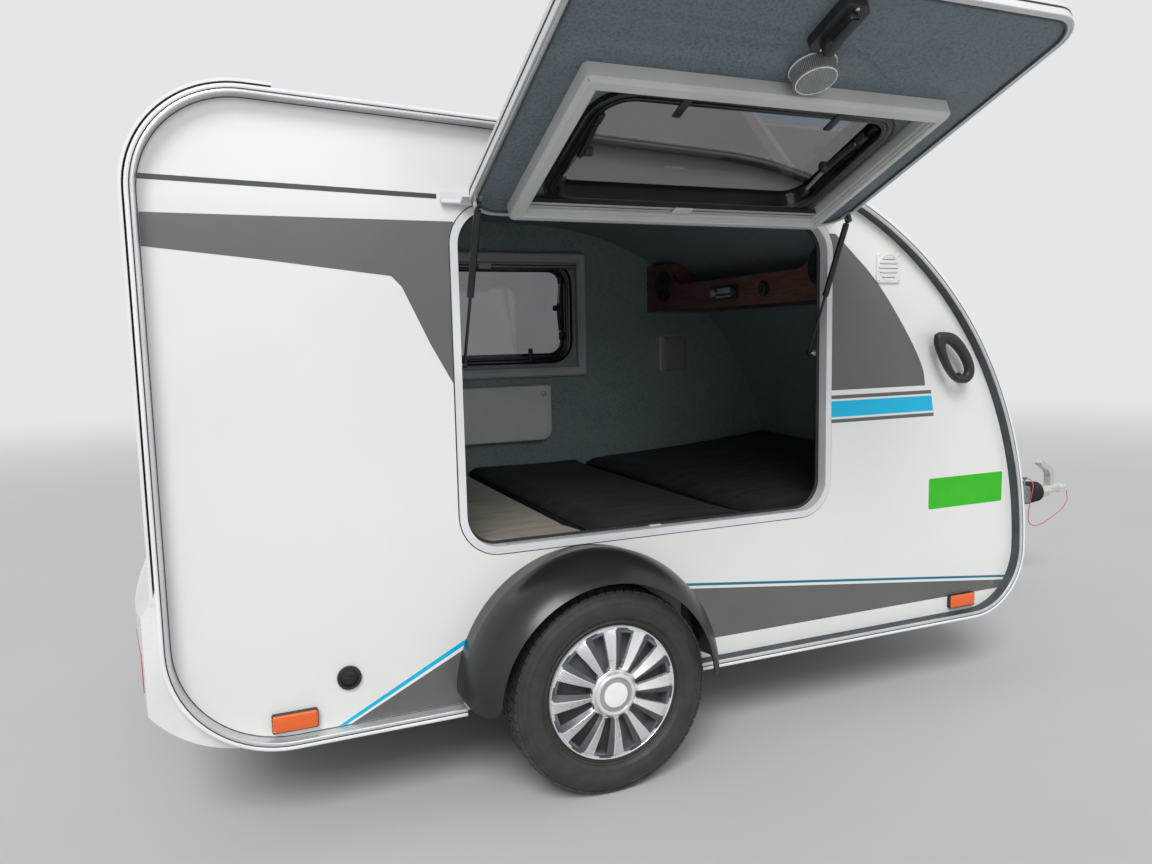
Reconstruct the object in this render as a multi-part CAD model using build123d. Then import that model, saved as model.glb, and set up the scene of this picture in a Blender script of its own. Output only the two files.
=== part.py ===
from build123d import *
from math import acos, atan2, cos, degrees, hypot, pi, radians, sin, sqrt, tan
import os

# Teardrop trailer with a wing door, at its real size in millimetres.
# +X points forward to the tow ball, +Y to the trailer's left and +Z up.
# The origin is on the ground, midway between the contacts of the two road wheels.

# Body outline, seen from the side
BODY_REAR_X = -1077.0
BODY_FRONT_X = 1653.0
BODY_BOTTOM_Z = 233.0
ROOF_TOP_Z = 1797.0
REAR_TOP_RADIUS = 242.0
REAR_BOTTOM_RADIUS = 285.0
FRONT_BOTTOM_RADIUS = 222.0
FRONT_SWEEP_RADIUS = 1282.0

# Body walls
BODY_HALF_WIDTH = 740.0
WALL = 30.0
TRIM_FACE = 20.0
TRIM_REACH = 35.0
FRONT_SHELL_LOW_Z = 462.0
REAR_PANEL_LOW_Z = 400.0
REAR_PANEL_TOP_Z = 646.0
PART_GAP = 5.0
SEAT_GAP = 0.3

# Rear hatch
HATCH_SPLIT_X = -760.0
HATCH_LIP_GAP = 5.5
HATCH_LIP = 7.0
HATCH_PIN_RADIUS = 5.0
HATCH_AXIS_LEAD = 9.0
HATCH_AXIS_RISE = 12.0
HATCH_HINGE_INSET = 395.0
HATCH_KNUCKLE = 90.0
HATCH_BARREL_WALL = 2.5
HATCH_LEAF_LENGTH = 60.0
HATCH_LEAF_THICKNESS = 3.0
HATCH_POST_SETBACK = 25.0
HATCH_LUG_WIDTH = 14.0
HATCH_FOOT_LENGTH = 45.0
HATCH_FOOT_DROP = 40.0
HATCH_HANDLE_RISE = 95.0
HATCH_HANDLE_LENGTH = 190.0
HATCH_HANDLE_HEIGHT = 44.0
HATCH_GRIP_LENGTH = 120.0
HATCH_GRIP_HEIGHT = 20.0

# Side door opening and door
OPENING_REAR_X = -335.0
OPENING_FRONT_X = 818.0
OPENING_LOW_Z = 668.0
OPENING_TOP_Z = 1545.0
OPENING_RADIUS = 90.0
FRAME_FLANGE = 20.0
FRAME_SHEET = 3.5
DOOR_OPEN_ANGLE = 112.0
DOOR_SHEET = 2.0
DOOR_EDGE_LIP = 15.0

# Door hinge: a hooked leaf on a round bead, along the top of the opening
HINGE_STAND = 12.0
HINGE_RISE = 15.0
BEAD_RADIUS = 4.5
HOOK_GAP = 0.6
HOOK_WALL = 2.6
LEAF_STAND = 9.0
LEAF_SHEET = 2.6
LEAF_FOOT_DROP = 14.0
LEAF_FOOT_HEIGHT = 10.0
MOUTH_LOW = 6.0
MOUTH_REACH = 60.0
RAIL_OVERHANG = 40.0

# Gas struts
STRUT_INSET = 23.0
STRUT_UPPER_DROP = 92.0
STRUT_UPPER_DEPTH = 47.0
STRUT_LOWER_Z = 1152.0
STRUT_LOWER_DEPTH = 55.0
STRUT_TUBE_RADIUS = 9.0
STRUT_ROD_RADIUS = 4.0
STRUT_TUBE_LENGTH = 235.0
STRUT_EYE_RADIUS = 8.5
STRUT_EYE_WIDTH = 10.0
STRUT_PIN_RADIUS = 3.5
STRUT_BORE_DEPTH = 175.0
STRUT_ROD_OVERLAP = 45.0
LUG_SHEET = 3.0
LUG_ROUND = 9.0
LUG_BASE = 16.0
LUG_JAMB_GAP = 2.0
RUNNING_GAP = 0.06

# Windows and their blind frames
WINDOW_WIDTH = 800.0
WINDOW_HEIGHT = 440.0
WINDOW_RADIUS = 95.0
WINDOW_CENTRE_X = 232.0
WINDOW_CENTRE_Z = 1241.0
LEFT_WINDOW_CENTRE_X = 168.0
LEFT_WINDOW_CENTRE_Z = 1329.0
BEZEL_WIDTH = 28.0
BEZEL_LIP = 3.0
BEZEL_STAND = 12.0
PANE_OVERLAP = 26.0
PANE_THICKNESS = 6.0
PANE_STAND = 4.0
GASKET_INSET = 8.0
BLIND_WIDTH = 925.0
BLIND_HEIGHT = 540.0
BLIND_DEPTH = 45.0
BLIND_BORDER = 37.0
BLIND_DROP = 12.0
BLIND_CORNER = 14.0
BLIND_INNER_CORNER = 30.0

# Door latch and lamp, placed from the middle and the low edge of the opening
LATCH_WIDTH = 66.0
LATCH_LENGTH = 132.0
LATCH_RISE = 110.0
LATCH_DEPTH = 20.0
LATCH_LEVER_WIDTH = 26.0
LATCH_LEVER_LENGTH = 96.0
LATCH_LEVER_DEPTH = 14.0
OUTER_LATCH_LENGTH = 120.0
OUTER_LATCH_WIDTH = 52.0
OUTER_LATCH_DEPTH = 9.0
LAMP_X = 264.0
LAMP_RISE = 234.0
LAMP_RADIUS = 50.0
LAMP_DEPTH = 40.0

# Road wheels and axle
WHEEL_RADIUS = 280.0
TYRE_WIDTH = 160.0
WHEEL_WALL_GAP = 102.0
TREAD_CORNER = 8.0
GROOVE_PITCH = 34.0
GROOVE_WIDTH = 8.0
GROOVE_DEPTH = 6.0
RIM_RADIUS = 170.0
RIM_SHEET = 6.0
RIM_FLANGE = 9.0
RIM_LIP = 8.0
DISC_INNER_RADIUS = 48.0
DISC_DISH = 30.0
BEAD_SHARE = 0.60
COVER_RADIUS = 183.0
COVER_SPOKES = 12
COVER_HUB_RADIUS = 56.0
COVER_DISC_RADIUS = 35.0
COVER_RING_RADIUS = 44.0
COVER_SHEET = 11.0
SPOKE_GAP_INNER = 14.0
SPOKE_GAP_OUTER = 38.0
SPOKE_RIDGE_STAND = 2.4
STUB_RADIUS = 20.0
HUB_RADIUS = 60.0
HUB_REACH = 44.0
DRUM_RADIUS = 112.0
DRUM_REACH = 60.0
AXLE_TUBE = 55.0
AXLE_LEAD = 125.0
AXLE_WALL_GAP = 14.0
AXLE_ARM_WIDTH = 26.0
AXLE_ARM_HEIGHT = 52.0
AXLE_BOSS_RADIUS = 38.0
AXLE_END_RADIUS = 34.0
STUB_REACH = 40.0

# Fenders
FENDER_OUTER_RADIUS = 372.0
FENDER_INNER_RADIUS = 306.0
FENDER_CENTRE_X = -15.0
FENDER_CENTRE_Z = 280.0
FENDER_REACH = 205.0
FENDER_SHEET = 5.0
FENDER_ARC = 179.0
FENDER_ROUND_Y = 70.0
FENDER_TIP_ROUND = 28.0

# Chassis
RAIL_INSET = 180.0
RAIL_WIDTH = 40.0
RAIL_HEIGHT = 55.0
RAIL_LOW_Z = 398.0
RAIL_REAR_X = -1000.0
RAIL_FRONT_X = 1480.0
CROSS_REAR_X = -330.0
CROSS_MIDDLE_X = 420.0
CROSS_FRONT_X = 1000.0
CROSS_WIDTH = 40.0
CROSS_DROP = 5.0
FLOOR_THICKNESS = 32.0
BATTEN_WIDTH = 40.0
BATTEN_REAR_GAP = 60.0
BATTEN_FRONT_X = 1150.0
BATTEN_NOSE_GAP = 103.0

# Drawbar
DRAWBAR_END_Y = 42.0
DRAWBAR_TUBE = 50.0
ARM_OVERLAP = 120.0
COUPLING_Z = 440.0
HOUSING_FRONT_X = 2560.0
HOUSING_REACH = 230.0
HOUSING_OVERLAP = 110.0
HOUSING_HALF_WIDTH = 43.0
HOUSING_DROP = 42.0
HOUSING_RISE = 38.0
HOUSING_CORNER = 10.0
COLLAR_RADIUS = 40.0
COLLAR_LENGTH = 60.0
COLLAR_STAND = 12.0
GAITER_LENGTH = 82.0
GAITER_RADIUS = 54.0
GAITER_FOLDS = 6
GAITER_TAPER = 0.16
SHAFT_RADIUS = 25.0
BALL_LEAD = 240.0
SOCKET_RADIUS = 25.3
SOCKET_DEPTH = 24.0
HEAD_WALL = 7.0
HEAD_DROP = 12.0
HEAD_RISE = 24.0
SLEEVE_WALL = 6.0
SLEEVE_LENGTH = 62.0
NECK_START = 45.0
NECK_HALF_WIDTH = 27.0
NECK_CORNER = 9.0
NECK_DROP = 10.0

# Levers on the coupling: the head's bent handle and the parking brake
HANDLE_SETBACK = 66.0
HANDLE_THICKNESS = 25.0
HANDLE_WIDTH = 36.0
HANDLE_RISE = 42.0
HANDLE_BEND = 52.0
HANDLE_TURN = 58.0
HANDLE_TAIL = 46.0
BRAKE_LEAD = 80.0
BRAKE_THICKNESS = 18.0
BRAKE_FOOT = 40.0
BRAKE_REACH = 110.0
BRAKE_HEIGHT = 350.0
BRAKE_GRIP_LENGTH = 105.0
BRAKE_GRIP_RADIUS = 13.0

# Breakaway cable: from a guide eye on the housing, round beside it and up to an eye on the coupling head
CABLE_RADIUS = 2.0
CABLE_EYE_SETBACK = 12.0
CABLE_EYE_Y = -20.0
CABLE_EYE_RISE = 37.0
CABLE_EYE_RADIUS = 6.0
CABLE_LUG_LEAD = 40.0
CABLE_LUG_Y = -14.0
CABLE_LUG_RADIUS = 7.0
CABLE_LUG_HEIGHT = 10.0
CABLE_ROUTE = [
    # x, y and z of each point, with the runs between them 14 to 51 long
    (2548, -32, 515), (2548, -56, 515), (2546, -72, 492), (2540, -70, 452), (2534, -66, 404), (2532, -60, 354),
    (2541, -54, 314), (2570, -50, 292), (2612, -47, 288), (2660, -43, 297), (2706, -41, 315), (2752, -42, 336),
    (2793, -41, 362), (2826, -33, 392), (2840, -14, 414), (2840, -14, 428),
]

# Jockey wheel
JOCKEY_SETBACK = 130.0
JOCKEY_Y = 84.0
JOCKEY_OUTER_RADIUS = 24.0
JOCKEY_WALL = 2.5
JOCKEY_INNER_RADIUS = 21.45
JOCKEY_MAST_LOW_Z = 398.0
JOCKEY_MAST_TOP_Z = 790.0
JOCKEY_OVERLAP = 200.0
JOCKEY_WHEEL_RADIUS = 100.0
JOCKEY_WHEEL_WIDTH = 50.0
JOCKEY_TRAIL = 38.0
JOCKEY_HEAD = 30.0
JOCKEY_CAP_HEIGHT = 22.0
JOCKEY_CAP_RADIUS = 9.0
CRANK_LENGTH = 130.0
CRANK_RISE = 12.0
CRANK_RADIUS = 7.0
CRANK_GRIP_LENGTH = 88.0
CRANK_GRIP_RADIUS = 10.0
CLAMP_DROP = 28.0
CLAMP_RISE = 24.0
CLAMP_WALL = 9.0
CLAMP_FOOT_WIDTH = 52.0
FORK_GAP = 18.0
FORK_SHEET = 5.0
FORK_CLEARANCE = 6.0
FORK_CHEEK = 4.0
LEG_COLLAR_HEIGHT = 8.0
LEG_COLLAR_WALL = 9.0
JOCKEY_PIN_RADIUS = 8.0

# Rear bumper
BUMPER_END_INSET = 2.0
BUMPER_TOP_Z = 620.0
BUMPER_LEDGE_Z = 530.0
BUMPER_DEPTH = 92.0
BUMPER_SIDE_SWEEP = 55.0
BUMPER_LOW_Z = 243.0
BUMPER_TOP_DEPTH = 22.0
BUMPER_LEDGE_BEVEL = 14.0
TAIL_LAMP_INSET = 180.0
TAIL_LAMP_WIDTH = 240.0
TAIL_LAMP_LOW_Z = 395.0
TAIL_LAMP_TOP_Z = 490.0
TAIL_LAMP_DEPTH = 75.0
TAIL_LAMP_STAND = 2.0
TAIL_LAMP_CORNER = 12.0

# Fittings on the side walls
REAR_MARKER_X = -791.0
FRONT_MARKER_X = 1392.0
MARKER_LOW_Z = 270.0
MARKER_LENGTH = 110.0
MARKER_HEIGHT = 46.0
MARKER_DEPTH = 14.0
VENT_INSET = 106.04
VENT_ANGLE = 54.555
VENT_SIZE = 94.0
VENT_DEPTH = 7.0
VENT_SLOTS = 5
VENT_PITCH = 14.0
VENT_SLOT_HEIGHT = 6.0
VENT_FACE_RADIUS = 38.0
PORT_X = -656.0
PORT_Z = 378.0
PORT_RADIUS = 30.0
PORT_WELL_RADIUS = 22.0
PORT_DEPTH = 8.0

# Loop handles
LOOP_X = 1313.0
LOOP_Z = 1110.0
LOOP_SIZE = 128.0
LOOP_CORNER = 50.0
LOOP_HOLE = 86.0
LOOP_HOLE_CORNER = 30.0
LOOP_THICKNESS = 20.0
LOOP_STAND = 56.0
LOOP_LEAN = 24.0
LOOP_POST_RADIUS = 10.0
LOOP_FOOT_RADIUS = 17.0

# Cabin
BULKHEAD_X = -460.0
BOARD = 15.0
MATTRESS_LOW_Z = 530.0
MATTRESS_TOP_Z = 664.0
MATTRESS_NOSE_RISE = 75.0
MATTRESS_SEAM_REAR_X = 50.0
MATTRESS_SEAM_FRONT_X = 600.0
MATTRESS_DOOR_GAP = 2.4
CUSHION_ROUND = 18.0
SOFT_GAP = 0.4
SHELF_FACE_X = 955.0
SHELF_ROOF_GAP = 32.4
SHELF_END_HEIGHT = 205.0
SHELF_MIDDLE_HEIGHT = 110.0
SHELF_END_WIDTH = 205.0
SHELF_CURVE_WIDTH = 105.0
SPEAKER_INSET = 195.0
SPEAKER_RISE = 110.0
SPEAKER_RADIUS = 66.0
SPEAKER_FLANGE = 6.0
SPEAKER_DEPTH = 37.0
RADIO_Y = 44.0
RADIO_WIDTH = 188.0
RADIO_HEIGHT = 58.0
RADIO_STAND = 8.0
SOCKET_PLATE_Y = -220.0
SOCKET_PLATE_RADIUS = 29.0
LOCKER_REAR_X = -50.0
LOCKER_FRONT_X = 441.0
LOCKER_LOW_Z = 772.0
LOCKER_TOP_Z = 1012.0
LOCKER_DEPTH = 62.0
LOCKER_CORNER = 48.0
PAD_REAR_X = 1017.0
PAD_FRONT_X = 1150.0
PAD_LOW_Z = 1045.0
PAD_TOP_Z = 1215.0
PAD_DEPTH = 22.0
PAD_CORNER = 12.0

# Kitchen
WORKTOP_Z = 905.0
WORKTOP_THICKNESS = 25.0
GALLEY_SHELF_Z = 1290.0
GALLEY_SHELF_DEPTH = 260.0
GALLEY_LIP = 60.0

TOP_RADIUS_Z = ROOF_TOP_Z - REAR_TOP_RADIUS
SWEEP_CENTRE = (BODY_FRONT_X - FRONT_SWEEP_RADIUS, BODY_BOTTOM_Z + FRONT_BOTTOM_RADIUS)
REAR_TOP_CENTRE = (BODY_REAR_X + REAR_TOP_RADIUS, TOP_RADIUS_Z)
REAR_BOTTOM_CENTRE = (BODY_REAR_X + REAR_BOTTOM_RADIUS, BODY_BOTTOM_Z + REAR_BOTTOM_RADIUS)
FRONT_BOTTOM_CENTRE = (BODY_FRONT_X - FRONT_BOTTOM_RADIUS, BODY_BOTTOM_Z + FRONT_BOTTOM_RADIUS)
INNER_Y = BODY_HALF_WIDTH - WALL
FAR = 4000.0
OVERCUT = 1.0

WHEEL_CENTRE_Y = BODY_HALF_WIDTH + WHEEL_WALL_GAP
RAIL_Y = BODY_HALF_WIDTH - RAIL_INSET
HATCH_HINGE_Y = BODY_HALF_WIDTH - HATCH_HINGE_INSET
BUMPER_HALF_WIDTH = BODY_HALF_WIDTH - BUMPER_END_INSET
TAIL_LAMP_Y = BODY_HALF_WIDTH - TAIL_LAMP_INSET
SPEAKER_Y = BODY_HALF_WIDTH - SPEAKER_INSET
DRAWBAR_END_X = HOUSING_FRONT_X - HOUSING_REACH
BALL_X = HOUSING_FRONT_X + BALL_LEAD
JOCKEY_X = HOUSING_FRONT_X - JOCKEY_SETBACK
HINGE_Y = -(BODY_HALF_WIDTH + HINGE_STAND)
HINGE_Z = OPENING_TOP_Z + HINGE_RISE
FLOOR_LOW_Z = RAIL_LOW_Z + RAIL_HEIGHT
FLOOR_TOP_Z = FLOOR_LOW_Z + FLOOR_THICKNESS
SHELF_LEAD = SHELF_FACE_X - SWEEP_CENTRE[0]
SHELF_END_Z = SWEEP_CENTRE[1] + sqrt((FRONT_SWEEP_RADIUS - WALL) ** 2 - SHELF_LEAD ** 2) - SHELF_ROOF_GAP
SHELF_LOW_Z = SHELF_END_Z - SHELF_END_HEIGHT
SHELF_MIDDLE_Z = SHELF_LOW_Z + SHELF_MIDDLE_HEIGHT


def roof_angle():
    """Angle of the outward normal along the straight roof, from +X, in degrees."""
    dx = REAR_TOP_CENTRE[0] - SWEEP_CENTRE[0]
    dz = REAR_TOP_CENTRE[1] - SWEEP_CENTRE[1]
    spare = (FRONT_SWEEP_RADIUS - REAR_TOP_RADIUS) / hypot(dx, dz)
    return degrees(atan2(dz, dx) - acos(spare))


def on_circle(centre, radius, angle):
    return (centre[0] + radius * cos(radians(angle)), centre[1] + radius * sin(radians(angle)))


def body_outline(inset):
    """The teardrop seen from the side, as a flat face in x and z, set in by inset."""
    up = roof_angle()
    arcs = [
        # centre, radius, start angle, turn
        (REAR_BOTTOM_CENTRE, REAR_BOTTOM_RADIUS, 180, 90),
        (FRONT_BOTTOM_CENTRE, FRONT_BOTTOM_RADIUS, 270, 90),
        (SWEEP_CENTRE, FRONT_SWEEP_RADIUS, 0, up),
        (REAR_TOP_CENTRE, REAR_TOP_RADIUS, up, 180 - up),
    ]
    edges = []
    last_end = on_circle(REAR_TOP_CENTRE, REAR_TOP_RADIUS - inset, 180)
    for centre, radius, start, turn in arcs:
        first = on_circle(centre, radius - inset, start)
        if hypot(first[0] - last_end[0], first[1] - last_end[1]) > 0.001:
            edges.append(Line(last_end, first))
        edges.append(CenterArc(centre, radius - inset, start, turn))
        last_end = on_circle(centre, radius - inset, start + turn)
    return make_face(edges)


def window_shape(x0, x1, z0, z1, corner):
    """A rectangle in x and z with round corners."""
    centre = ((x0 + x1) / 2, (z0 + z1) / 2)
    return Pos(centre[0], centre[1]) * RectangleRounded(x1 - x0, z1 - z0, corner)


def opening_shape(grow):
    return window_shape(OPENING_REAR_X - grow, OPENING_FRONT_X + grow,
                        OPENING_LOW_Z - grow, OPENING_TOP_Z + grow, OPENING_RADIUS + grow)


def door_shape(grow):
    return opening_shape(grow - PART_GAP)


def box_sketch(x0, x1, z0, z1):
    return Pos((x0 + x1) / 2, (z0 + z1) / 2) * Rectangle(x1 - x0, z1 - z0)


def slab(sketch, y0, y1):
    """A side-view sketch made solid between two y places."""
    return extrude(Plane.XZ.offset(-y1) * sketch, amount=y1 - y0)


def cross_slab(sketch, x0, x1):
    """A rear-view sketch in y and z made solid between two x places."""
    return extrude(Plane.YZ.offset(x0) * sketch, amount=x1 - x0)


def block(x0, x1, y0, y1, z0, z1):
    return Pos((x0 + x1) / 2, (y0 + y1) / 2, (z0 + z1) / 2) * Box(x1 - x0, y1 - y0, z1 - z0)


def rod(start, end, radius):
    """A round bar from start to end."""
    path = Vector(*end) - Vector(*start)
    return Plane(origin=start, z_dir=path) * extrude(Circle(radius), amount=path.length)


def square_bar(start, end, width, height):
    """A straight bar with a level top, from start to end."""
    path = Vector(*end) - Vector(*start)
    plane = Plane(origin=start, x_dir=Vector(0, 0, 1).cross(path), z_dir=path)
    return plane * extrude(Rectangle(width, height), amount=path.length)


def mirrored(shape):
    return mirror(shape, about=Plane.XZ)


def pair(shape):
    """The shape and its mirror image across the centreline."""
    return Compound([shape, mirrored(shape)])


def open_door(shape):
    """Turn a shape drawn on the closed door to where the open door holds it."""
    return shape.rotate(Axis((0, HINGE_Y, HINGE_Z), (1, 0, 0)), -DOOR_OPEN_ANGLE)


def as_drawn(shape):
    """The place of a piece that no joint has turned."""
    return shape


def opened_point(y, z):
    """Where a point of the closed door lies when the door is open."""
    turn = radians(-DOOR_OPEN_ANGLE)
    dy, dz = y - HINGE_Y, z - HINGE_Z
    return (HINGE_Y + dy * cos(turn) - dz * sin(turn), HINGE_Z + dy * sin(turn) + dz * cos(turn))


def ring(outer, inner, y0, y1):
    return slab(outer - inner, y0, y1)


VENT_X, VENT_Z = on_circle(SWEEP_CENTRE, FRONT_SWEEP_RADIUS - VENT_INSET, VENT_ANGLE)

parts = {}


# Body shell

def side_panel(side):
    """A side wall; side is -1 for the right one, with the door, and 1 for the left one."""
    y0, y1 = sorted((side * INNER_Y, side * BODY_HALF_WIDTH))
    panel = slab(body_outline(0), y0, y1)
    if side < 0:
        panel -= slab(opening_shape(FRAME_SHEET), y0, y1)
    else:
        panel -= slab(left_window_shape(0), y0, y1)
    arm_notch = window_shape(-95, AXLE_LEAD + 75, BODY_BOTTOM_Z - 200, RAIL_LOW_Z + 30, 60)
    return panel - slab(arm_notch, y0, y1)


def left_window_shape(grow):
    half_width = WINDOW_WIDTH / 2 + grow
    half_height = WINDOW_HEIGHT / 2 + grow
    return window_shape(LEFT_WINDOW_CENTRE_X - half_width, LEFT_WINDOW_CENTRE_X + half_width,
                        LEFT_WINDOW_CENTRE_Z - half_height, LEFT_WINDOW_CENTRE_Z + half_height,
                        WINDOW_RADIUS + grow)


def door_window_shape(grow):
    return Pos(WINDOW_CENTRE_X - LEFT_WINDOW_CENTRE_X,
               WINDOW_CENTRE_Z - LEFT_WINDOW_CENTRE_Z) * left_window_shape(grow)


def shell_piece(outer, inner, region, half_width):
    return slab((body_outline(outer) - body_outline(inner)) & region, -half_width, half_width)


def make_body():
    parts["side_panel_right"] = side_panel(-1)
    parts["side_panel_left"] = side_panel(1)
    roof_zone = box_sketch(HATCH_SPLIT_X + PART_GAP / 2, FAR, FRONT_SHELL_LOW_Z, FAR)
    parts["roof_shell"] = shell_piece(0, WALL, roof_zone, INNER_Y)
    rear_zone = box_sketch(-FAR, BODY_REAR_X + REAR_BOTTOM_RADIUS, REAR_PANEL_LOW_Z, REAR_PANEL_TOP_Z)
    parts["rear_panel"] = shell_piece(0, WALL, rear_zone, INNER_Y)
    trim_band = body_outline(0) - body_outline(TRIM_FACE)
    wheel_zone = box_sketch(FENDER_CENTRE_X - FENDER_OUTER_RADIUS + 25,
                            FENDER_CENTRE_X + FENDER_OUTER_RADIUS - 25, 0, RAIL_LOW_Z)
    trim = slab(trim_band - wheel_zone, -BODY_HALF_WIDTH - TRIM_REACH, -BODY_HALF_WIDTH)
    parts["edge_trim_right"] = trim
    parts["edge_trim_left"] = mirrored(trim)
    parts["floor_panel"] = floor_panel()


def floor_panel():
    floor = slab(body_outline(WALL) & box_sketch(-FAR, FAR, FLOOR_LOW_Z, FLOOR_TOP_Z), -INNER_Y, INNER_Y)
    deck = block(BULKHEAD_X + BOARD, sweep_x(MATTRESS_LOW_Z, WALL), -INNER_Y, INNER_Y,
                 MATTRESS_LOW_Z - BOARD, MATTRESS_LOW_Z)
    half = BATTEN_WIDTH / 2
    battens = [block(x - half, x + half, -INNER_Y, INNER_Y, FLOOR_TOP_Z, MATTRESS_LOW_Z - BOARD)
               for x in (BULKHEAD_X + BATTEN_REAR_GAP, MATTRESS_SEAM_REAR_X, MATTRESS_SEAM_FRONT_X,
                         BATTEN_FRONT_X, BODY_FRONT_X - BATTEN_NOSE_GAP)]
    for piece in [deck] + battens:
        floor += piece
    return floor


def sweep_x(z, inset):
    """How far forward the front sweep reaches at height z."""
    rise = z - SWEEP_CENTRE[1]
    return SWEEP_CENTRE[0] + sqrt((FRONT_SWEEP_RADIUS - inset) ** 2 - rise ** 2)


# Rear hatch

def make_hatch():
    zone = box_sketch(-FAR, HATCH_SPLIT_X - PART_GAP / 2, REAR_PANEL_TOP_Z + PART_GAP, FAR)
    lip_low = -(HATCH_LIP_GAP + HATCH_LIP)
    core = shell_piece(lip_low, WALL - PART_GAP, zone, INNER_Y - PART_GAP)
    lip = shell_piece(lip_low, -HATCH_LIP_GAP, zone, BODY_HALF_WIDTH + TRIM_REACH)
    panel = core + lip
    axis_x = HATCH_SPLIT_X + HATCH_AXIS_LEAD
    axis_z = roof_z(HATCH_SPLIT_X) + HATCH_AXIS_RISE
    pins = []
    for middle_y in (-HATCH_HINGE_Y, HATCH_HINGE_Y):
        leaf, pin = hatch_hinge(axis_x, axis_z, middle_y - HATCH_KNUCKLE / 2)
        panel += leaf
        pins.append(pin)
    parts["hatch_panel"] = panel
    parts["hatch_hinges"] = Compound(pins)
    handle_z = REAR_PANEL_TOP_Z + HATCH_HANDLE_RISE
    face_x = BODY_REAR_X + lip_low
    stand = HATCH_HANDLE_HEIGHT / 5
    handle = block(face_x - stand, face_x, -HATCH_HANDLE_LENGTH / 2, HATCH_HANDLE_LENGTH / 2,
                   handle_z - HATCH_HANDLE_HEIGHT / 2, handle_z + HATCH_HANDLE_HEIGHT / 2)
    grip = block(face_x - stand - HATCH_GRIP_HEIGHT * 0.65, face_x - stand,
                 -HATCH_GRIP_LENGTH / 2, HATCH_GRIP_LENGTH / 2,
                 handle_z - HATCH_GRIP_HEIGHT / 2, handle_z + HATCH_GRIP_HEIGHT / 2)
    parts["hatch_handle"] = (fillet(handle.edges().filter_by(Axis.X), HATCH_HANDLE_HEIGHT / 4)
                             + fillet(grip.edges().filter_by(Axis.X), HATCH_GRIP_HEIGHT * 0.4))


def hatch_hinge(axis_x, axis_z, y):
    """One roof hinge: the knuckle on the hatch, and the pin with its two lugs on the roof."""
    y_end = y + HATCH_KNUCKLE
    barrel_radius = HATCH_PIN_RADIUS + HATCH_BARREL_WALL
    barrel = rod((axis_x, y, axis_z), (axis_x, y_end, axis_z), barrel_radius)
    leaf_low = axis_z + barrel_radius - HATCH_LEAF_THICKNESS
    leaf = block(axis_x - HATCH_LEAF_LENGTH, axis_x, y, y_end, leaf_low, leaf_low + HATCH_LEAF_THICKNESS)
    post = block(axis_x - HATCH_LEAF_LENGTH + PART_GAP, axis_x - HATCH_POST_SETBACK, y, y_end,
                 axis_z - HATCH_AXIS_RISE, leaf_low)
    bore_radius = HATCH_PIN_RADIUS + RUNNING_GAP
    bore = rod((axis_x, y - OVERCUT, axis_z), (axis_x, y_end + OVERCUT, axis_z), bore_radius)
    reach = HATCH_LUG_WIDTH + OVERCUT
    pin = rod((axis_x, y - reach, axis_z), (axis_x, y_end + reach, axis_z), HATCH_PIN_RADIUS)
    for low in (y - reach, y_end + OVERCUT):
        high = low + HATCH_LUG_WIDTH
        pin += rod((axis_x, low, axis_z), (axis_x, high, axis_z), barrel_radius)
        foot = block(axis_x, axis_x + HATCH_FOOT_LENGTH, low, high,
                     axis_z - HATCH_FOOT_DROP, axis_z + HATCH_LEAF_THICKNESS)
        pin += foot - slab(body_outline(0), low - OVERCUT, high + OVERCUT)
    return (barrel + leaf + post) - bore, pin


def roof_z(x):
    """Height of the straight roof at x."""
    up = radians(roof_angle())
    foot = on_circle(SWEEP_CENTRE, FRONT_SWEEP_RADIUS, roof_angle())
    return foot[1] + (foot[0] - x) * cos(up) / sin(up)


# Door opening, door and struts

def make_door_frame():
    outer_y = -BODY_HALF_WIDTH
    flange = ring(opening_shape(FRAME_FLANGE), opening_shape(0), outer_y - 3, outer_y)
    sleeve = ring(opening_shape(FRAME_SHEET), opening_shape(0), outer_y - 3, -INNER_Y + 2)
    inner_flange = ring(opening_shape(FRAME_FLANGE), opening_shape(0), -INNER_Y, -INNER_Y + 2)
    frame = flange + sleeve + inner_flange
    rail_low = OPENING_TOP_Z + FRAME_FLANGE
    x0 = OPENING_REAR_X - RAIL_OVERHANG
    x1 = OPENING_FRONT_X + FRAME_FLANGE
    plate = block(x0, x1, outer_y - 3, outer_y, rail_low, rail_low + 22)
    bead = rod((x0, HINGE_Y, HINGE_Z), (x1, HINGE_Y, HINGE_Z), BEAD_RADIUS)
    web_path = [(HINGE_Y, HINGE_Z - 1.2), (outer_y - 2, rail_low + 2.0),
                (outer_y - 2, rail_low + 5.0), (HINGE_Y, HINGE_Z + 1.4)]
    web = cross_slab(make_face(Polyline(*web_path, close=True)), x0, x1)
    frame += plate + bead + web
    parts["door_frame"] = Compound([frame] + [lower_bracket(side) for side in (-1, 1)])


def strut_plane(side):
    """The x place of a strut; side is -1 for the rear one and 1 for the front one."""
    return OPENING_FRONT_X - STRUT_INSET if side > 0 else OPENING_REAR_X + STRUT_INSET


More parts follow.
